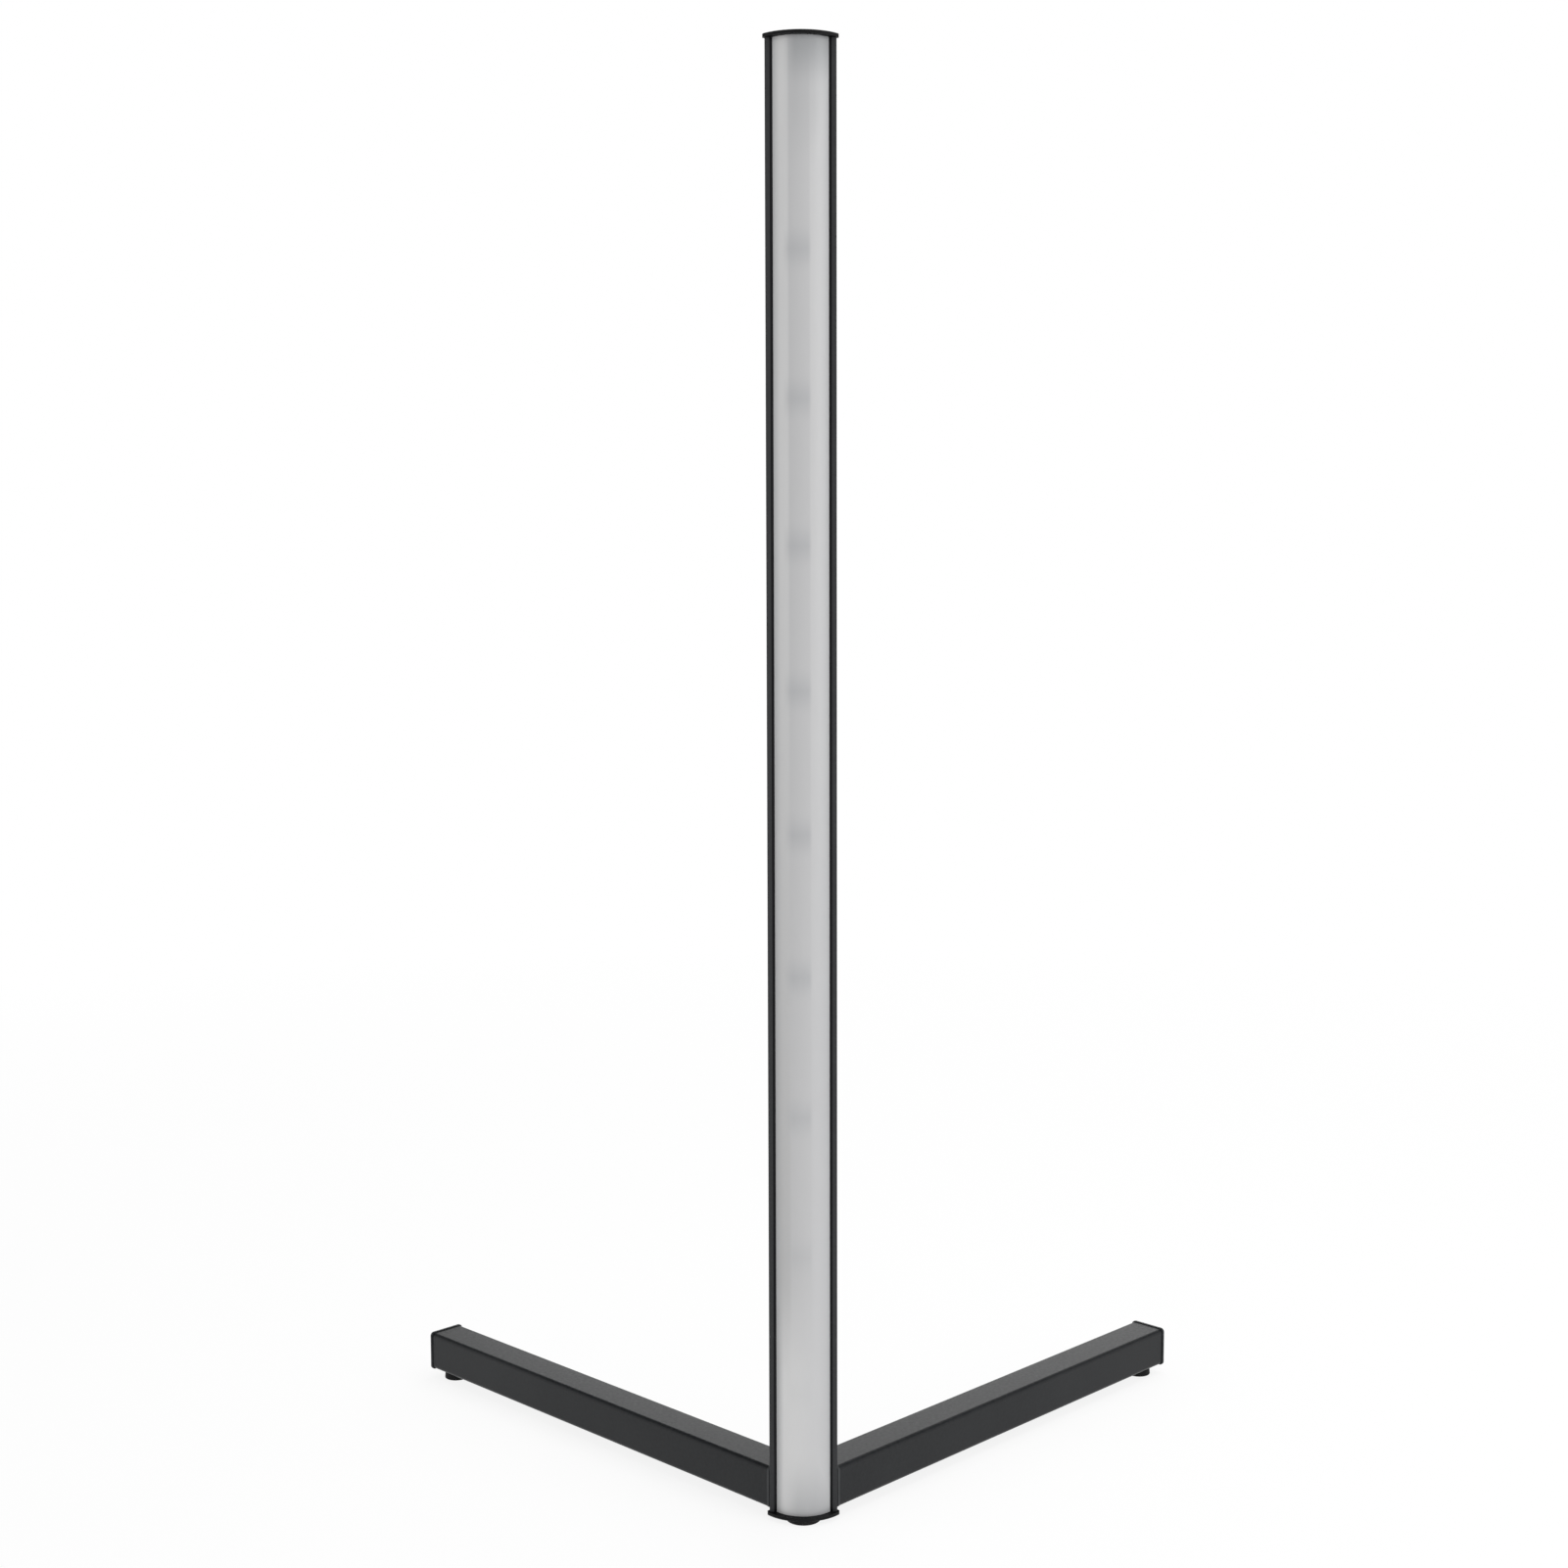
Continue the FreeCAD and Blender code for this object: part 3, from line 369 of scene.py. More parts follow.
pad = start_piece("front_rubber_pad", bpy.ops.mesh.primitive_cylinder_add, vertices=PAD_SIDES,
                  radius=PAD_RADIUS * MM, depth=PAD_HEIGHT * MM,
                  location=(0, 0, PAD_HEIGHT / 2 * MM))
pick(pad, "edges", on_floor)
round_off(PAD_ROUND)
pick(pad, "faces", is_disc_at(0))
inset(DISH_RIM)
extrude(z=DISH_DEPTH)
bpy.ops.transform.resize(value=(DISH_SLOPE, DISH_SLOPE, 1))
finish_piece(pad, "apex_foot")

# %% [markdown]
# ## The cable bush
# Low on the back a rubber bush lines the hole where a cable enters. It is a
# neck between two rims. One rim is a short cylinder; insets and extrusions
# carry it through the wall to the other rim, bevels round both, and bridging
# opens the bore.

# %% Make the bush
BUSH_HEIGHT = 56.0
BUSH_SIDES = 48
BUSH_RIM = 5.0
BUSH_NECK = 3.45
BUSH_BORE = 2.2
BUSH_ROUND = 0.6
RIM_THICK = 1.2
BUSH_TURN = 45.0            # it looks along the normal of the bar's right wall
bush_ends = ((1, RIM_THICK), (-1, -BAR_WALL - RIM_THICK))   # direction and place


def disc_facing(direction, place):
    """Picks the big face across the X axis at a place along it."""
    return lambda face: face.normal.x * direction > ALIGNED \
        and abs(centre(face).x - place) < CLOSE and centre(face).yz.length < CENTRAL


def is_outer_rim(edge):
    """The round edge at the free end of either rim."""
    return abs(centre(edge).yz.length - BUSH_RIM) < SLACK and run_along_x(edge) < CLOSE \
        and any(abs(centre(edge).x - place) < CLOSE for _, place in bush_ends)


bush = start_piece("cable_bush", bpy.ops.mesh.primitive_cylinder_add, vertices=BUSH_SIDES,
                   radius=BUSH_RIM * MM, depth=RIM_THICK * MM,
                   location=(RIM_THICK / 2 * MM, 0, 0), rotation=(0, math.radians(90), 0))
pick(bush, "faces", disc_facing(-1, 0))
inset(BUSH_RIM - BUSH_NECK)
extrude(x=-BAR_WALL)
extrude()
bpy.ops.transform.resize(value=(1, BUSH_RIM / BUSH_NECK, BUSH_RIM / BUSH_NECK))
extrude(x=-RIM_THICK)
pick(bush, "edges", is_outer_rim)
round_off(BUSH_ROUND)
for direction, place in bush_ends:
    pick(bush, "faces", disc_facing(direction, place))
    inset(BUSH_RIM - BUSH_ROUND - BUSH_BORE)
    bpy.ops.mesh.delete(type="ONLY_FACE")
bridge_open_rims(bush)
finish_piece(bush, "cable_grommet")
settle(bush, BUSH_TURN, LEG_ROOT[0], LEG_ROOT[1], BUSH_HEIGHT)

# %% [markdown]
# ## Building a finish
# A finish is a small tree of nodes. Every pattern reads Object coordinates,
# which are metres from the origin, so a pattern's scale follows from a real
# size: a noise of scale 1 / size has grains of that size. Most values of a
# pattern lie between 0.3 and 0.7, so that range is stretched to the full one.

# %% Helpers for finishes
def hex_colour(code):
    """An sRGB hex colour as the linear colour that the shader wants, by the two
    parts of the sRGB curve: a straight start and a power above it."""
    parts = [int(code[i:i + 2], 16) / 255 for i in (1, 3, 5)]
    return [p / 12.92 if p <= 0.04045 else ((p + 0.055) / 1.055) ** 2.4 for p in parts] + [1.0]


def add(tree, kind, inputs=None, **settings):
    """Adds a node with its settings, links and values."""
    node = tree.nodes.new("ShaderNode" + kind)
    for name, value in settings.items():
        setattr(node, name, value)
    for name, value in (inputs or {}).items():
        socket = node.inputs[name]
        if isinstance(value, bpy.types.NodeSocket):
            tree.links.new(value, socket)
        else:
            socket.default_value = value
    return node


def new_finish(name, **values):
    """A material with a Principled shader: its tree, shader and coordinates."""
    finish = bpy.data.materials.new(name)
    finish.use_nodes = True
    tree = finish.node_tree
    shader = tree.nodes["Principled BSDF"]
    for socket, value in values.items():
        shader.inputs[socket.replace("_", " ")].default_value = value
    place = add(tree, "TexCoord").outputs["Object"]
    return finish, tree, shader, place


def drive(tree, shader, **values):
    """Links values to the shader's inputs, with an underscore for a space."""
    for socket, value in values.items():
        tree.links.new(value, shader.inputs[socket.replace("_", " ")])


def maths(tree, operation, *values):
    """One step of arithmetic on one value or two."""
    return add(tree, "Math", dict(enumerate(values)), operation=operation).outputs[0]


def axes_of(tree, place):
    """The X, Y and Z of a place."""
    return add(tree, "SeparateXYZ", {"Vector": place}).outputs


def grains(tree, place, size, detail=2.0):
    """Noise with grains of a size in millimetres."""
    return add(tree, "TexNoise", {"Vector": place, "Scale": 1 / (size * MM),
                                  "Detail": detail}).outputs["Fac"]


def spread(tree, value, low, high, from_low=0.3, from_high=0.7):
    """Stretches a pattern's middle range to a low and a high value."""
    return add(tree, "MapRange", {"Value": value, "From Min": from_low, "From Max": from_high,
                                  "To Min": low, "To Max": high}).outputs["Result"]


def varied(tree, pattern, middle, swing):
    """Goes from a swing below a middle value to a swing above it."""
    return spread(tree, pattern, middle - swing, middle + swing)


def blend(tree, value, first, second):
    """Mixes two colours, as hex codes or sockets, by a value from 0 to 1."""
    first, second = (hex_colour(tone) if isinstance(tone, str) else tone
                     for tone in (first, second))
    return add(tree, "Mix", {"Factor": value, "A": first, "B": second},
               data_type="RGBA").outputs[2]


def two_tones(tree, pattern, first, second):
    """Goes from one colour to another with the grains of a pattern."""
    return blend(tree, spread(tree, pattern, 0.0, 1.0), first, second)


def paint_over(tree, shader, mask, tone):
    """Lays a tone over the shader's colour wherever the mask is 1."""
    under = shader.inputs["Base Color"].links[0].from_socket
    drive(tree, shader, Base_Color=blend(tree, mask, under, tone))


def emboss(tree, shader, height, depth, strength=1.0):
    """Raises a pattern by a depth in millimetres."""
    bump = add(tree, "Bump", {"Height": height, "Distance": depth * MM, "Strength": strength})
    drive(tree, shader, Normal=bump.outputs["Normal"])


def wear(finish, *names):
    """Puts a finish on CAD pieces or new ones."""
    for name in names:
        materials = bpy.data.objects[name].data.materials
        materials.clear()
        materials.append(finish)


# %% [markdown]
# ## Powder coat on the bar and the legs
# Both the aluminium bar and the steel legs are powder coated: dry black powder
# is sprayed on and baked, and flows into a thin skin with the faint pitted
# texture of an orange's peel. It is a plastic, so it isn't metallic, and it
# has a soft, wide shine. The peel of a fine coat is about 0.4 mm across, which
# is finer than a pixel here, so a second, coarser noise of 2.5 mm carries the
# same unevenness where the fine one can't be seen. The steel's coat is darker
# and a little bluer than the bar's, and smoother.

# %% Make the two powder coats
PEEL = 0.4                  # size of the orange peel
PEEL_DEPTH = 0.02
COARSE = 2.5                # size of the unevenness that shows from afar
COARSE_SHARE = 0.6          # its part in the change of tone
CLOUD = 60.0                # size of the slow change in tone
CLOUD_SHARE = 0.4
LIP_SHINE = 0.27            # specular level of the bar's coat


def powder_coat(name, dark, light, roughness, shine):
    finish, tree, shader, place = new_finish(name, IOR=1.5, Specular_IOR_Level=shine)
    fine = grains(tree, place, PEEL)
    coarse = grains(tree, place, COARSE, detail=4.0)
    cloud = grains(tree, place, CLOUD, detail=3.0)
    mixed = maths(tree, "ADD", spread(tree, coarse, 0.0, COARSE_SHARE),
                  spread(tree, cloud, 0.0, CLOUD_SHARE))
    drive(tree, shader, Base_Color=blend(tree, mixed, dark, light),
          Roughness=varied(tree, coarse, roughness, swing=0.05))
    emboss(tree, shader, maths(tree, "ADD", fine, coarse), PEEL_DEPTH)
    return finish, tree, shader, place


coated_steel = powder_coat("powder_coated_steel", "#131518", "#222426",
                           roughness=0.38, shine=0.22)[0]
coated_aluminium, tree, shader, place = powder_coat(
    "powder_coated_aluminium", "#2b2c2e", "#353638", roughness=0.46, shine=LIP_SHINE)
wear(coated_aluminium, "pole_profile")
wear(coated_steel, "left_tube", "right_tube")
print("powder coats:", coated_aluminium.name, "and", coated_steel.name)

# %% [markdown]
# The groove between each lip and the cover lies in shade, so painted shade
# darkens its colour there and its shine is lowered, and it looks darker than
# the lip beside it. The groove is where the distance from the middle is under
# the lip's inner edge, and only at the very front of the bar.

# %% Paint shade into the grooves beside the cover
LIP_EDGE = 20.7             # inner edge of each lip
# The painted shade and the lower shine in each groove begin and are full at these distances
# from that edge.
LIP_EDGE_BLUR = (0.05, -0.15)   # where the dull coat begins and is full, from that edge
GROOVE_REAR = 2.0           # behind the lips
GROOVE_REAR_BLUR = 0.2
GROOVE_SHINE = 0.15


def soft_step(tree, value, start, end):
    """From 0 to 1 as a length in millimetres goes from start to end."""
    return add(tree, "MapRange", {"Value": value, "From Min": start * MM, "From Max": end * MM,
                                  "To Min": 0.0, "To Max": 1.0},
               interpolation_type="SMOOTHSTEP").outputs["Result"]


def times(tree, first, second):
    """The product of two values."""
    return maths(tree, "MULTIPLY", first, second)


axes = axes_of(tree, place)
off_middle = maths(tree, "ABSOLUTE", axes["X"])
rear = LIPS_Y + GROOVE_REAR
groove = times(tree, soft_step(tree, off_middle, *(LIP_EDGE + blur for blur in LIP_EDGE_BLUR)),
               soft_step(tree, axes["Y"], rear + GROOVE_REAR_BLUR, rear))
# Painted shade in the groove: its colour is darkened there, and its shine lowered below.
paint_over(tree, shader, groove, "#16171a")
drive(tree, shader, Specular_IOR_Level=spread(tree, groove, LIP_SHINE, GROOVE_SHINE, 0.0, 1.0))
print("dull groove between", COVER_HALF, "and", LIP_EDGE, "mm from the middle")

# %% [markdown]
# ## Milky plastic over a dark strip
# The cover is extruded opal acrylic: clear plastic with white pigment, so
# light goes in, scatters and comes out again. Unlit, it looks a soft grey
# white, and what lies close behind it shows as a shade. A true translucent
# shell would cost much noise for little, so those shades are painted into its
# colour: the strip's tape as a band a little darker than the sides, a faint
# smudge for each driver chip of the strip, the shade of cap and plate over
# its two ends, and that of the dark bar along its two edges. The light that
# falls on the bow is painted in too: the tones of its sides change up the bar
# and from left to right, and its foot is paler. All are made of soft steps
# across and up the bar. Two tables list them in millimetres: first where a
# step is 0, then where it is 1. The second can lie below the first.

# %% List the steps of the cover's shades
STRIP_LEFT = -8.6           # the band that shows, from here
STRIP_RIGHT = 5.8           # to here
STEPS_ACROSS = {
    "band_left": (STRIP_LEFT - 1.2, STRIP_LEFT + 1.2),
    "band_right": (STRIP_RIGHT + 0.9, STRIP_RIGHT - 0.9),
    "right_part": (-13.0, -3.0),    # the ends are shaded more on this side
    "right_edge": (8.0, 19.0),
    "chip_left": (-13.5, -5.5),     # the smudges reach past the band's left
    "chip_right": (7.5, 4.0),
    "sides": (-19.0, 14.0),         # from the left side's tone to the right's
    "glow_left": (-19.2, -13.6),
    "glow_tones": (-12.0, 12.0),
}
STEPS_UP = {
    "upper": (100.0, 800.0),        # from the lower tones to the upper ones
    "chips_start": (0.0, 420.0),
    "chips_end": (960.0, 920.0),
    "top_wide": (930.0, 985.0),
    "top_close": (985.0, 1015.0),
    "foot": (52.0, 3.0),
    "glow_top": (190.0, 90.0),
}
BOTH_EDGES = (13.5, 19.5)   # as a distance from the middle
print("steps across:", len(STEPS_ACROSS), "and up:", len(STEPS_UP))

# %% [markdown]
# A step across times a step up gives a patch with soft borders. Patches that
# darken the same place could be added up, but where two meet in a corner that
# would be too dark, so the stronger of the two is kept.

# %% Lay out the cover's shades
TOP_WIDE = 0.25             # how strong each shade is
TOP_CLOSE = 0.6
FOOT_LEFT = 0.1
FOOT_RIGHT = 0.55
EDGE_BOTH = 0.5
EDGE_RIGHT = 0.28

opal, tree, shader, place = new_finish("opal_acrylic", IOR=1.49, Roughness=0.32)
axes = axes_of(tree, place)
across, up = axes["X"], axes["Z"]
step = {}
for axis, table in ((across, STEPS_ACROSS), (up, STEPS_UP)):
    for name, (start, end) in table.items():
        step[name] = soft_step(tree, axis, start, end)
band = times(tree, step["band_left"], step["band_right"])
top_dark = maths(tree, "ADD", times(tree, step["top_wide"], TOP_WIDE),
                 times(tree, step["top_close"], TOP_CLOSE))
top_shade = times(tree, top_dark, step["right_part"])
foot_dark = spread(tree, step["right_part"], FOOT_LEFT, FOOT_RIGHT, 0.0, 1.0)
foot_shade = times(tree, step["foot"], foot_dark)
both_edges = soft_step(tree, maths(tree, "ABSOLUTE", across), *BOTH_EDGES)
edge_shade = maths(tree, "MAXIMUM", times(tree, both_edges, EDGE_BOTH),
                   times(tree, step["right_edge"], EDGE_RIGHT))
end_shade = maths(tree, "MAXIMUM", top_shade, foot_shade)
shade = maths(tree, "MAXIMUM", end_shade, edge_shade)
print("the strip's band is", STRIP_RIGHT - STRIP_LEFT, "mm wide")

# %% [markdown]
# The chips repeat every 100 mm, so one chip's painted shade, a faint smudge,
# is drawn in a height that starts again with each. A Math node set to
# Ping-Pong turns the height into a distance from the nearest chip. The strip
# lies 20 mm behind the surface that carries these painted shades, so from the
# front they look a little closer together than the chips are, drawn in
# towards the height of the eye. They grow fainter downwards and are lost in
# the painted shade of the cap. In the lowest 100 mm the photograph shows no
# band either, so there it gives way to one even, paler tone, which is painted
# light. Each layer is then laid over the one before.

# %% Add the chips' painted shades and the painted tones
SEGMENT = 100.0             # the strip's chips repeat at this pitch
FIRST_CHIP = 85.6           # middle of the lowest one and its resistors
EYE = 665.0                 # height that the lamp is looked at from
DEEPER = 0.986              # how much smaller the strip looks than the cover
CHIP_SHADE_STEP = (18.0, -4.0)       # from 0 at 18 mm off a chip, and never quite 1
MOTTLE = 0.25               # share of the cloudy tone in the plastic
MOTTLE_REACH = 0.25         # how far the clouds go towards their second tone

seen_pitch = SEGMENT * DEEPER
seen_first = EYE + (FIRST_CHIP - EYE) * DEEPER
shifted = maths(tree, "SUBTRACT", up, seen_first * MM)
from_chip = maths(tree, "PINGPONG", shifted, seen_pitch / 2 * MM)
# Painted shade: a faint smudge where each driver chip lies behind the cover.
spot = times(tree, soft_step(tree, from_chip, *CHIP_SHADE_STEP),
             times(tree, step["chip_left"], step["chip_right"]))
chip_shade = times(tree, spot, times(tree, step["chips_start"], step["chips_end"]))
# Painted light: a paler tone over the lowest part of the cover, fading out near its left edge.
glow = times(tree, step["glow_top"], step["glow_left"])
# Painted light and shade: the tones of the sides change up the bar and from left to right, as
# the light falls on the bow.
left = blend(tree, step["upper"], "#b9b9b9", "#dfdfdf")
right = blend(tree, step["upper"], "#cbcbcd", "#cececf")
sides = blend(tree, step["sides"], left, right)
cloud = spread(tree, grains(tree, place, size=45.0), 0.0, MOTTLE_REACH)
mottled = blend(tree, cloud, "#d0d0d0", "#e2e2e2")
plastic = blend(tree, MOTTLE, sides, mottled)
# Painted shade of the strip's tape behind the cover, as a darker band.
banded = blend(tree, band, plastic, "#cacacb")
glow_tone = blend(tree, step["glow_tones"], "#dddddd", "#cececf")
glowing = blend(tree, glow, banded, glow_tone)
# The chips' painted shade is laid over the tones in a darker grey.
with_chips = blend(tree, chip_shade, glowing, "#bcbdbf")
drive(tree, shader, Base_Color=blend(tree, shade, with_chips, "#a4a6a8"))
emboss(tree, shader, grains(tree, place, size=8.0), depth=0.02, strength=0.4)
wear(opal, "diffuser_cover")
print("smudges every", seen_pitch, "mm from", round(seen_first, 1), "mm up")

# %% [markdown]
# ## Moulded plastics
# Cap and bottom plate are moulded ABS, a hard glossy plastic whose mould was
# spark eroded to a fine even grain, so it has a quiet satin shine. The plugs
# and the end caps of the legs are nylon, which comes out of its mould duller,
# with slow flow marks. The connector is the same nylon without its black
# pigment. The rim of each end cap stands out past its tube, and a painted
# highlight makes it paler there. How far a point lies along its leg is
# (|x| + y) / sqrt 2 for both legs.

# %% Make the moulded plastics
CAP_THICK = 2.5             # the end cap's plate, beyond the tube
RIM_START = (-1.1, -0.7)    # the paler rim, measured from the cap's outer face
RIM_END = (-0.02, -0.1)


def moulded(name, dark, light, roughness, grain, flow, shine=0.5):
    """A moulded plastic with fine grains and slow flow marks, in millimetres."""
    finish, tree, shader, place = new_finish(name, IOR=1.53, Specular_IOR_Level=shine)
    fine = grains(tree, place, grain)
    slow = grains(tree, place, flow, detail=3.0)
    drive(tree, shader, Base_Color=two_tones(tree, slow, dark, light),
          Roughness=varied(tree, fine, roughness, swing=0.06))
    emboss(tree, shader, fine, depth=0.012)
    return finish, tree, shader, place


black_abs = moulded("spark_eroded_black_abs", "#0d0e0f", "#131416",
                    roughness=0.5, grain=0.35, flow=20.0, shine=0.13)[0]
pale_nylon = moulded("moulded_natural_nylon", "#d6d4c8", "#e6e4da",
                     roughness=0.5, grain=0.5, flow=6.0)[0]
black_nylon, tree, shader, place = moulded(
    "moulded_black_nylon", "#2a2c2e", "#343638",
    roughness=0.42, grain=0.5, flow=12.0, shine=0.3)
cap_face = sum(LEG_ROOT) / math.sqrt(2) + LEG_END + CAP_THICK
axes = axes_of(tree, place)
leg_sum = maths(tree, "ADD", maths(tree, "ABSOLUTE", axes["X"]), axes["Y"])
along = times(tree, leg_sum, 1 / math.sqrt(2))
rim = times(tree, *(soft_step(tree, along, cap_face + start, cap_face + end)
                    for start, end in (RIM_START, RIM_END)))
# Painted highlight: the rim of each end cap is painted paler.
paint_over(tree, shader, rim, "#525457")
wear(black_abs, "top_cap", "bottom_plate")
wear(black_nylon, "left_leg_joint_plug", "right_leg_joint_plug",
     "left_leg_end_cap", "right_leg_end_cap")
wear(pale_nylon, "lead_connector")
print("an end cap's face is", round(cap_face, 1), "mm along its leg from the origin")

# %% [markdown]
# ## Rubber
# Feet, pad and bush are moulded black rubber: almost no shine, a dry surface,
# and a breath of grey bloom where it has been handled. The bloom is a noise of
# 5 mm patches, kept faint.

# %% Make the rubber
BLOOM_RANGE = (0.4, 0.75)   # the part of the noise that shows as bloom

rubber, tree, shader, place = new_finish("moulded_black_rubber", IOR=1.52, Roughness=0.85,
                                         Specular_IOR_Level=0.3)
bloom = spread(tree, grains(tree, place, size=5.0, detail=5.0), 0.0, 1.0, *BLOOM_RANGE)
drive(tree, shader, Base_Color=blend(tree, bloom, "#101011", "#1c1c1d"))
emboss(tree, shader, grains(tree, place, size=0.6), depth=0.03)
wear(rubber, "left_rubber_foot", "right_rubber_foot", "front_rubber_pad", "cable_bush")
print("rubber on two feet, a pad and a bush")

# %% [markdown]
# ## Screws, bolts and nuts
# The screws that show are steel blackened by hot oxide: still metal, dark,
# with an oily sheen that varies over a millimetre or two. The bolts and nuts
# inside are bright zinc plate, which is pale, a little blue and cloudy.

# %% Make the two metals
def plated(name, dark, light, roughness, blotch):
    """A plated or blackened metal, cloudy in blotches of a size in millimetres."""
    finish, tree, shader, place = new_finish(name, Metallic=1.0)
    patch = grains(tree, place, blotch, detail=4.0)
    drive(tree, shader, Base_Color=two_tones(tree, patch, dark, light),
          Roughness=varied(tree, patch, roughness, swing=0.08))
    emboss(tree, shader, grains(tree, place, size=0.25), depth=0.006)
    return finish


black_oxide = plated("black_oxide_steel", "#29292b", "#38383a", roughness=0.42, blotch=1.5)
bright_zinc = plated("bright_zinc_plate", "#b9bec4", "#d2d5d8", roughness=0.30, blotch=2.5)
wear(black_oxide, "top_cap_screw", "bottom_plate_screw", "left_plug_screw",
     "right_plug_screw", "left_foot_screw", "right_foot_screw")
wear(bright_zinc, "left_leg_bolts", "right_leg_bolts", "left_leg_nuts", "right_leg_nuts")
print("metals:", black_oxide.name, "and", bright_zinc.name)

# %% [markdown]
# ## The light strip
# Behind the cover runs a flexible circuit: polyimide film under white solder
# mask, with bare copper pads at every cut line, 100 mm apart. The pads could
# be faces of their own, but as they are flat, a mask is enough: it is 1 near a
# cut line, on both sides of the middle.

# %% Make the circuit tape
STRIP_FOOT = 12.0           # lower end of the strip
COPPER_HALF = (2.6, 2.4)    # half the height of a pair of copper pads
COPPER_INNER = (1.4, 1.6)   # the pads reach from here
COPPER_OUTER = (3.7, 3.5)   # to here, from the middle

tape, tree, shader, place = new_finish("white_solder_mask", IOR=1.5, Roughness=0.45)
axes = axes_of(tree, place)
rise = maths(tree, "SUBTRACT", axes["Z"], STRIP_FOOT * MM)
from_cut = maths(tree, "PINGPONG", rise, SEGMENT / 2 * MM)
off_middle = maths(tree, "ABSOLUTE", axes["X"])
copper = times(tree, soft_step(tree, from_cut, *COPPER_HALF),
               times(tree, soft_step(tree, off_middle, *COPPER_INNER),
                     soft_step(tree, off_middle, *COPPER_OUTER)))
specks = grains(tree, place, size=3.0)
drive(tree, shader, Base_Color=two_tones(tree, specks, "#e4e3dc", "#efeee9"))
paint_over(tree, shader, copper, "#b8733d")
emboss(tree, shader, grains(tree, place, size=0.8), depth=0.01)
wear(tape, "led_strip_tape")
print("copper pads every", SEGMENT, "mm")

# %% [markdown]
# The light packages are white plastic cups filled with yellow phosphor, three
# to a segment. The round pool of phosphor is a mask too, of the distance from
# the middle of the nearest package.

# %% Make the light packages
PACKAGE_PITCH = SEGMENT / 3
PHOSPHOR_RADIUS = (2.0, 1.8)

package, tree, shader, place = new_finish("phosphor_package", IOR=1.5, Roughness=0.35)
axes = axes_of(tree, place)
rise = maths(tree, "SUBTRACT", axes["Z"], (STRIP_FOOT + PACKAGE_PITCH / 2) * MM)
from_package = maths(tree, "PINGPONG", rise, PACKAGE_PITCH / 2 * MM)
offset = add(tree, "CombineXYZ", {"X": axes["X"], "Y": from_package}).outputs[0]
radius = add(tree, "VectorMath", {0: offset}, operation="LENGTH").outputs["Value"]
specks = grains(tree, place, size=1.0)
drive(tree, shader, Base_Color=two_tones(tree, specks, "#e2e1da", "#eeede6"))
paint_over(tree, shader, soft_step(tree, radius, *PHOSPHOR_RADIUS), "#e6c84e")
wear(package, "led_packages")
print("light packages every", round(PACKAGE_PITCH, 2), "mm")

# %% [markdown]
# The driver chips and resistors are black epoxy with tinned ends, so one mask
# of the distance from the strip's middle line turns epoxy to tin where the
# chips' legs stand out. The leads are soft PVC: the lamp's two leads are both
# red here, with the faint dust that soft plastic holds.

# %% Make the epoxy and the leads
TINNED = (1.95, 2.05)       # from here outwards the chips are tin

epoxy, tree, shader, place = new_finish("black_epoxy", IOR=1.55, Roughness=0.5)
off_middle = maths(tree, "ABSOLUTE", axes_of(tree, place)["X"])
specks = grains(tree, place, size=0.8)
drive(tree, shader, Base_Color=two_tones(tree, specks, "#1a1a1b", "#232324"))
paint_over(tree, shader, soft_step(tree, off_middle, *TINNED), "#c2c3c0")
wear(epoxy, "led_driver_chips", "strip_resistors")

lead_pvc, tree, shader, place = new_finish("soft_red_pvc", IOR=1.53, Roughness=0.55)
dust = grains(tree, place, size=2.0, detail=4.0)
drive(tree, shader, Base_Color=two_tones(tree, dust, "#a81e1a", "#b83a34"))
wear(lead_pvc, "strip_leads")
bare = [name for name, piece in nodes.items() if not piece.data.materials]
print("pieces without a finish:", bare)

# %% [markdown]
# ## Floor and backdrop
# The photograph has a pure white ground. The floor is one large plane. Near
# the lamp its colour is partly its own light and partly paint that takes the
# lamp's soft shadow; further out it is all its own light, so that it stays
# white to its far edge.

# %% Make the floor
WHITE = (1, 1, 1, 1)
FLOOR_SIZE = 80.0           # metres
FLOOR_SHADE = 0.14          # share of the floor's tone that takes light and shade
NEAR = 0.9                  # metres from the lamp where that share starts to fall
FAR = 2.4                   # and where it is gone

bpy.ops.object.select_all(action="DESELECT")
bpy.ops.mesh.primitive_plane_add(size=FLOOR_SIZE)
floor = bpy.context.object
floor.name = "floor"
ground = bpy.data.materials.new("white_ground")
ground.use_nodes = True
tree = ground.node_tree
tree.nodes.remove(tree.nodes["Principled BSDF"])
matt = add(tree, "BsdfDiffuse", {"Color": WHITE}).outputs[0]
own_glow = add(tree, "Emission", {"Color": WHITE, "Strength": 1.0}).outputs[0]
path = add(tree, "LightPath").outputs
looked_at = maths(tree, "MAXIMUM", path["Is Camera Ray"], path["Is Glossy Ray"])
looked_at = maths(tree, "MAXIMUM", looked_at, path["Is Transmission Ray"])
from_lamp = add(tree, "VectorMath", {0: add(tree, "TexCoord").outputs["Object"]},
                operation="LENGTH").outputs["Value"]
own_light = spread(tree, from_lamp, 1 - FLOOR_SHADE, 1.0, NEAR, FAR)
share = times(tree, looked_at, own_light)
ground_mix = add(tree, "MixShader", {0: share, 1: matt, 2: own_glow}).outputs[0]
tree.links.new(ground_mix, tree.nodes["Material Output"].inputs["Surface"])
floor.data.materials.append(ground)
print("floor:", FLOOR_SIZE, "m wide, with a soft shadow near the lamp")

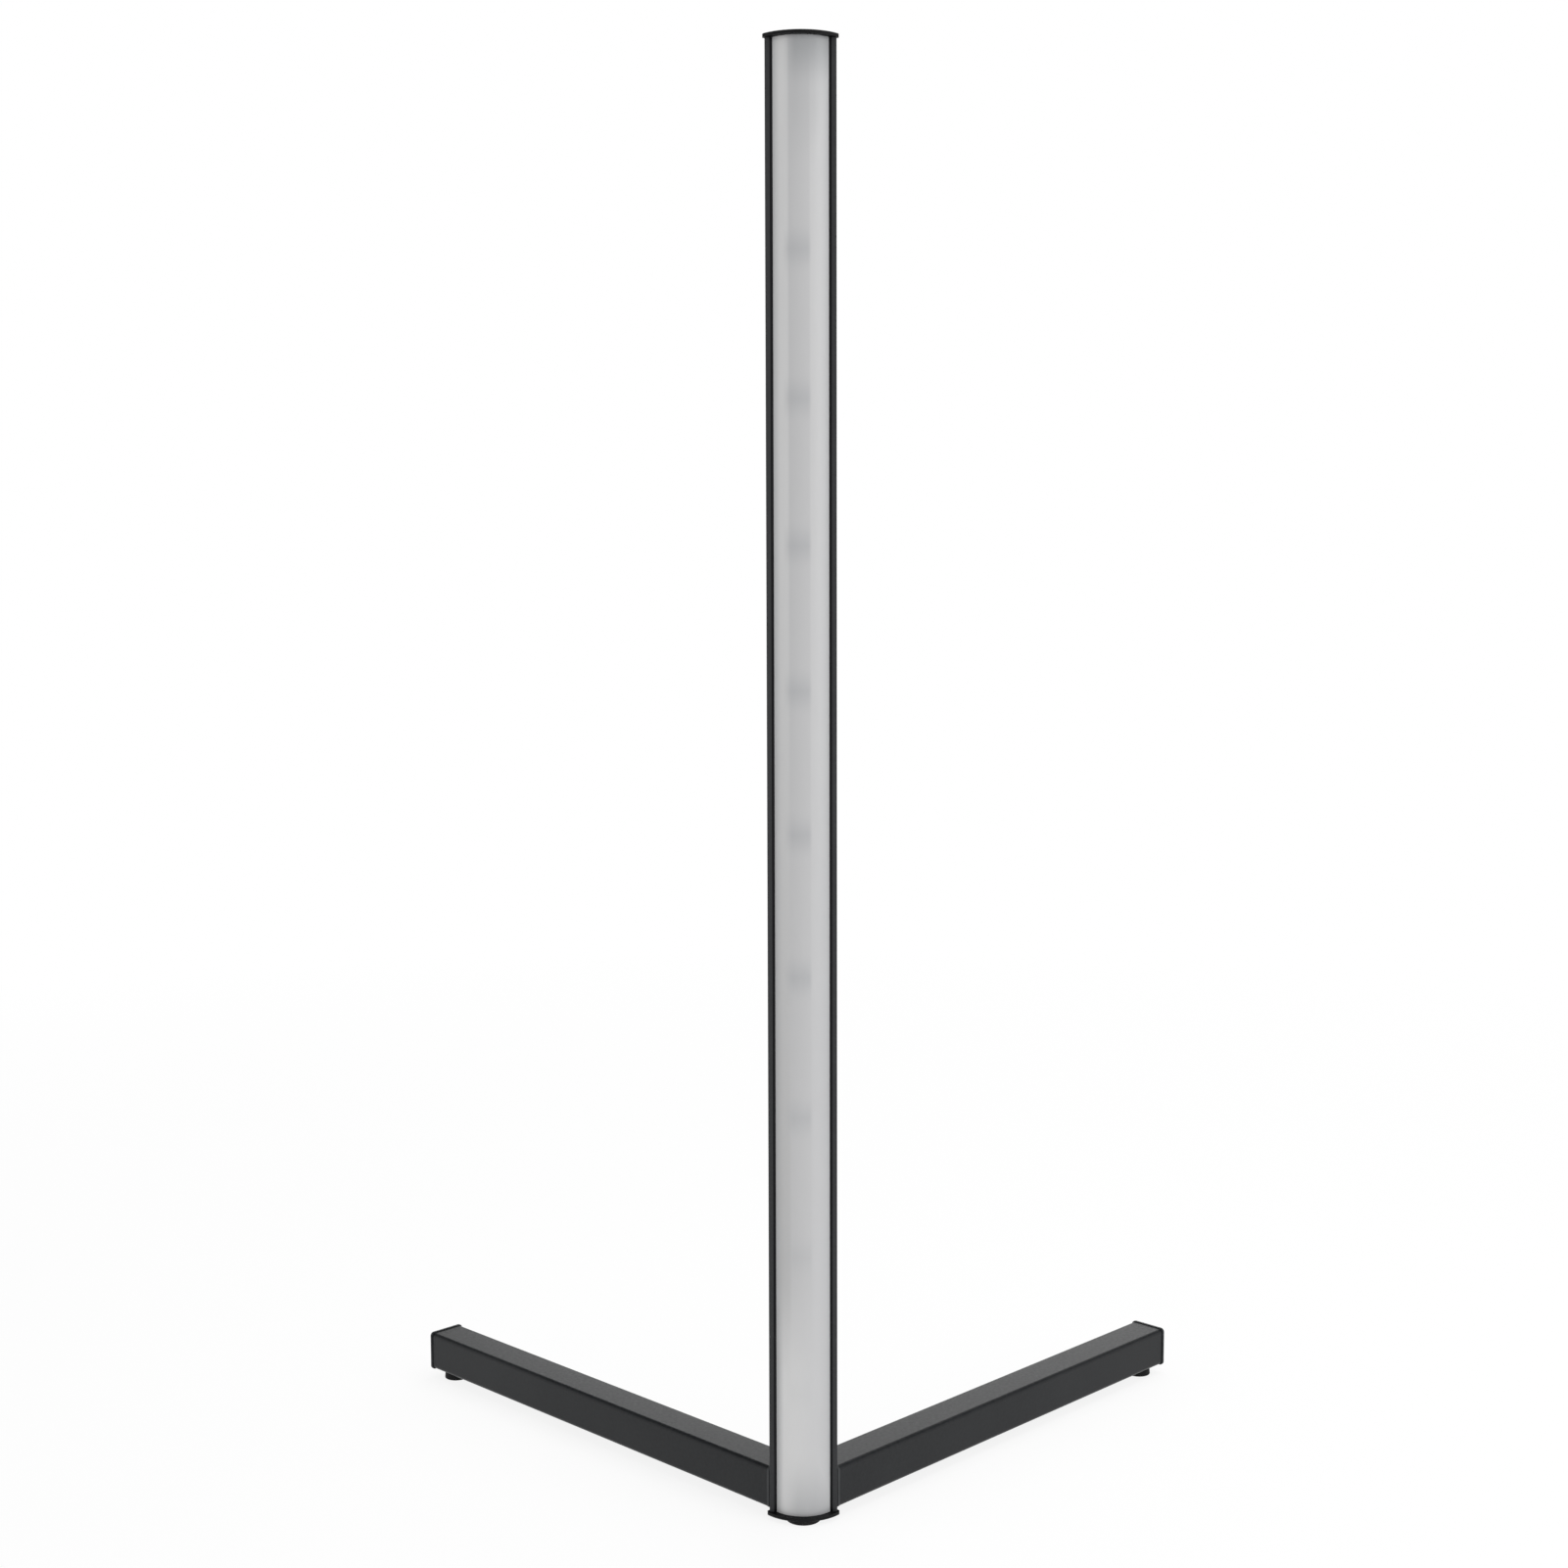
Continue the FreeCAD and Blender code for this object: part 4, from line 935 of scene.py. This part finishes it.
# %% [markdown]
# Beyond the floor the world is white to the camera. As a light, and in
# reflections, the world is a studio: a pale backdrop round the lamp under a
# dim ceiling. It could be a room of large white planes, but a strength that
# changes with height does the same with no mesh. The dim ceiling is what draws
# the dark line along the rounded upper edges of the legs.

# %% Make the world
# Strength "low" is below the height "from_low" and "high" above "from_high",
# where a height of 0 is level and 1 is straight up.
LIGHT_SKY = {"low": 0.72, "high": 0.45, "from_low": 0.1, "from_high": 0.8}
MIRROR_SKY = {"low": 1.12, "high": 0.06, "from_low": 0.3, "from_high": 0.6}

world = bpy.data.worlds.new("studio")
bpy.context.scene.world = world
world.use_nodes = True
tree = world.node_tree
tree.nodes.clear()
height = axes_of(tree, add(tree, "TexCoord").outputs["Generated"])["Z"]
light = spread(tree, height, **LIGHT_SKY)
mirror = spread(tree, height, **MIRROR_SKY)
path = add(tree, "LightPath").outputs
dimmed = add(tree, "Mix", {"Factor": path["Is Glossy Ray"],
                           "A": light, "B": mirror}).outputs[0]
clear = maths(tree, "MAXIMUM", path["Is Camera Ray"], path["Is Transmission Ray"])
strength = add(tree, "Mix", {"Factor": clear, "A": dimmed, "B": 1.0}).outputs[0]
sky = add(tree, "Background", {"Color": WHITE, "Strength": strength}).outputs[0]
add(tree, "OutputWorld", {"Surface": sky})
print("the world is white to the camera")

# %% [markdown]
# ## Light
# A large soft light overhead lights the lamp as a whole, and one to the right
# gives the cover its brighter side, as in the photograph. A weak, smaller one
# at the front left lifts the upper part of the bar. A fourth stands far behind
# the lamp, out of the camera's sight: it is what the tops of the legs mirror
# at their shallow angle, and so gives them their pale sheen. The large ones
# are wide, so their shadows are soft.

# %% Place the lights
LIGHTS = {                  # in metres and watts
    "left_front": {"place": (-1.5, -1.7, 2.3), "target": (0, 0, 0.95),
                   "width": 0.9, "height": 0.9, "power": 2.5},
    "overhead": {"place": (0.6, 0.3, 3.0), "target": (0, 0.1, 0.4),
                 "width": 2.4, "height": 2.4, "power": 40.0},
    "right_side": {"place": (2.2, -1.2, 1.2), "target": (0, 0, 0.6),
                   "width": 1.2, "height": 2.0, "power": 12.0},
    "behind": {"place": (1.0, 3.4, 1.5), "target": (0.1, 0, 0.2),
               "width": 3.6, "height": 1.6, "power": 15.0},
}


def soft_light(name, place, target, width, height, power):
    """A rectangular light that faces its target and that the camera can't see."""
    lamp = bpy.data.lights.new(name, "AREA")
    lamp.shape = "RECTANGLE"
    lamp.size = width
    lamp.size_y = height
    lamp.energy = power
    holder = bpy.data.objects.new(name, lamp)
    bpy.context.scene.collection.objects.link(holder)
    holder.visible_camera = False
    turn = (Vector(target) - Vector(place)).to_track_quat("-Z", "Y")
    holder.matrix_world = Matrix.Translation(place) @ turn.to_matrix().to_4x4()
    return holder


for name, settings in LIGHTS.items():
    print("light:", soft_light(name, **settings).name)

# %% [markdown]
# ## Camera
# The camera was fitted to the photograph, to the bar's edges, the strip's
# marks and the legs. It stands 1.5 m in front of the lamp, a little left of
# it, 0.67 m up, and looks down by 5.4 degrees.

# %% Place the camera
CAMERA_PLACE = (-23.7483, -1498.4529, 665.097)
CAMERA_YAW = 0.4356
CAMERA_PITCH = 5.418
CAMERA_ROLL = -0.1619
FOCAL_PIXELS = 2239.6
FRAME_PIXELS = 1601
SENSOR = 36.0

yaw, pitch, roll = (math.radians(a) for a in (CAMERA_YAW, CAMERA_PITCH, CAMERA_ROLL))
plumb = Vector((0, 0, 1))
level = Vector((math.sin(yaw), math.cos(yaw), 0))
side_way = Vector((math.cos(yaw), -math.sin(yaw), 0))
ahead = math.cos(pitch) * level - math.sin(pitch) * plumb
upright = math.sin(pitch) * level + math.cos(pitch) * plumb
right_way = math.cos(roll) * side_way + math.sin(roll) * upright
up_way = math.cos(roll) * upright - math.sin(roll) * side_way
camera_data = bpy.data.cameras.new("camera")
camera_data.sensor_width = SENSOR
camera_data.lens = FOCAL_PIXELS / FRAME_PIXELS * SENSOR
camera = bpy.data.objects.new("camera", camera_data)
bpy.context.scene.collection.objects.link(camera)
turn = Matrix((right_way, up_way, -ahead)).transposed().to_4x4()
camera.matrix_world = Matrix.Translation(Vector(CAMERA_PLACE) * MM) @ turn
bpy.context.scene.camera = camera
bpy.context.scene.view_settings.view_transform = "Standard"
print("lens:", round(camera_data.lens, 2), "mm")
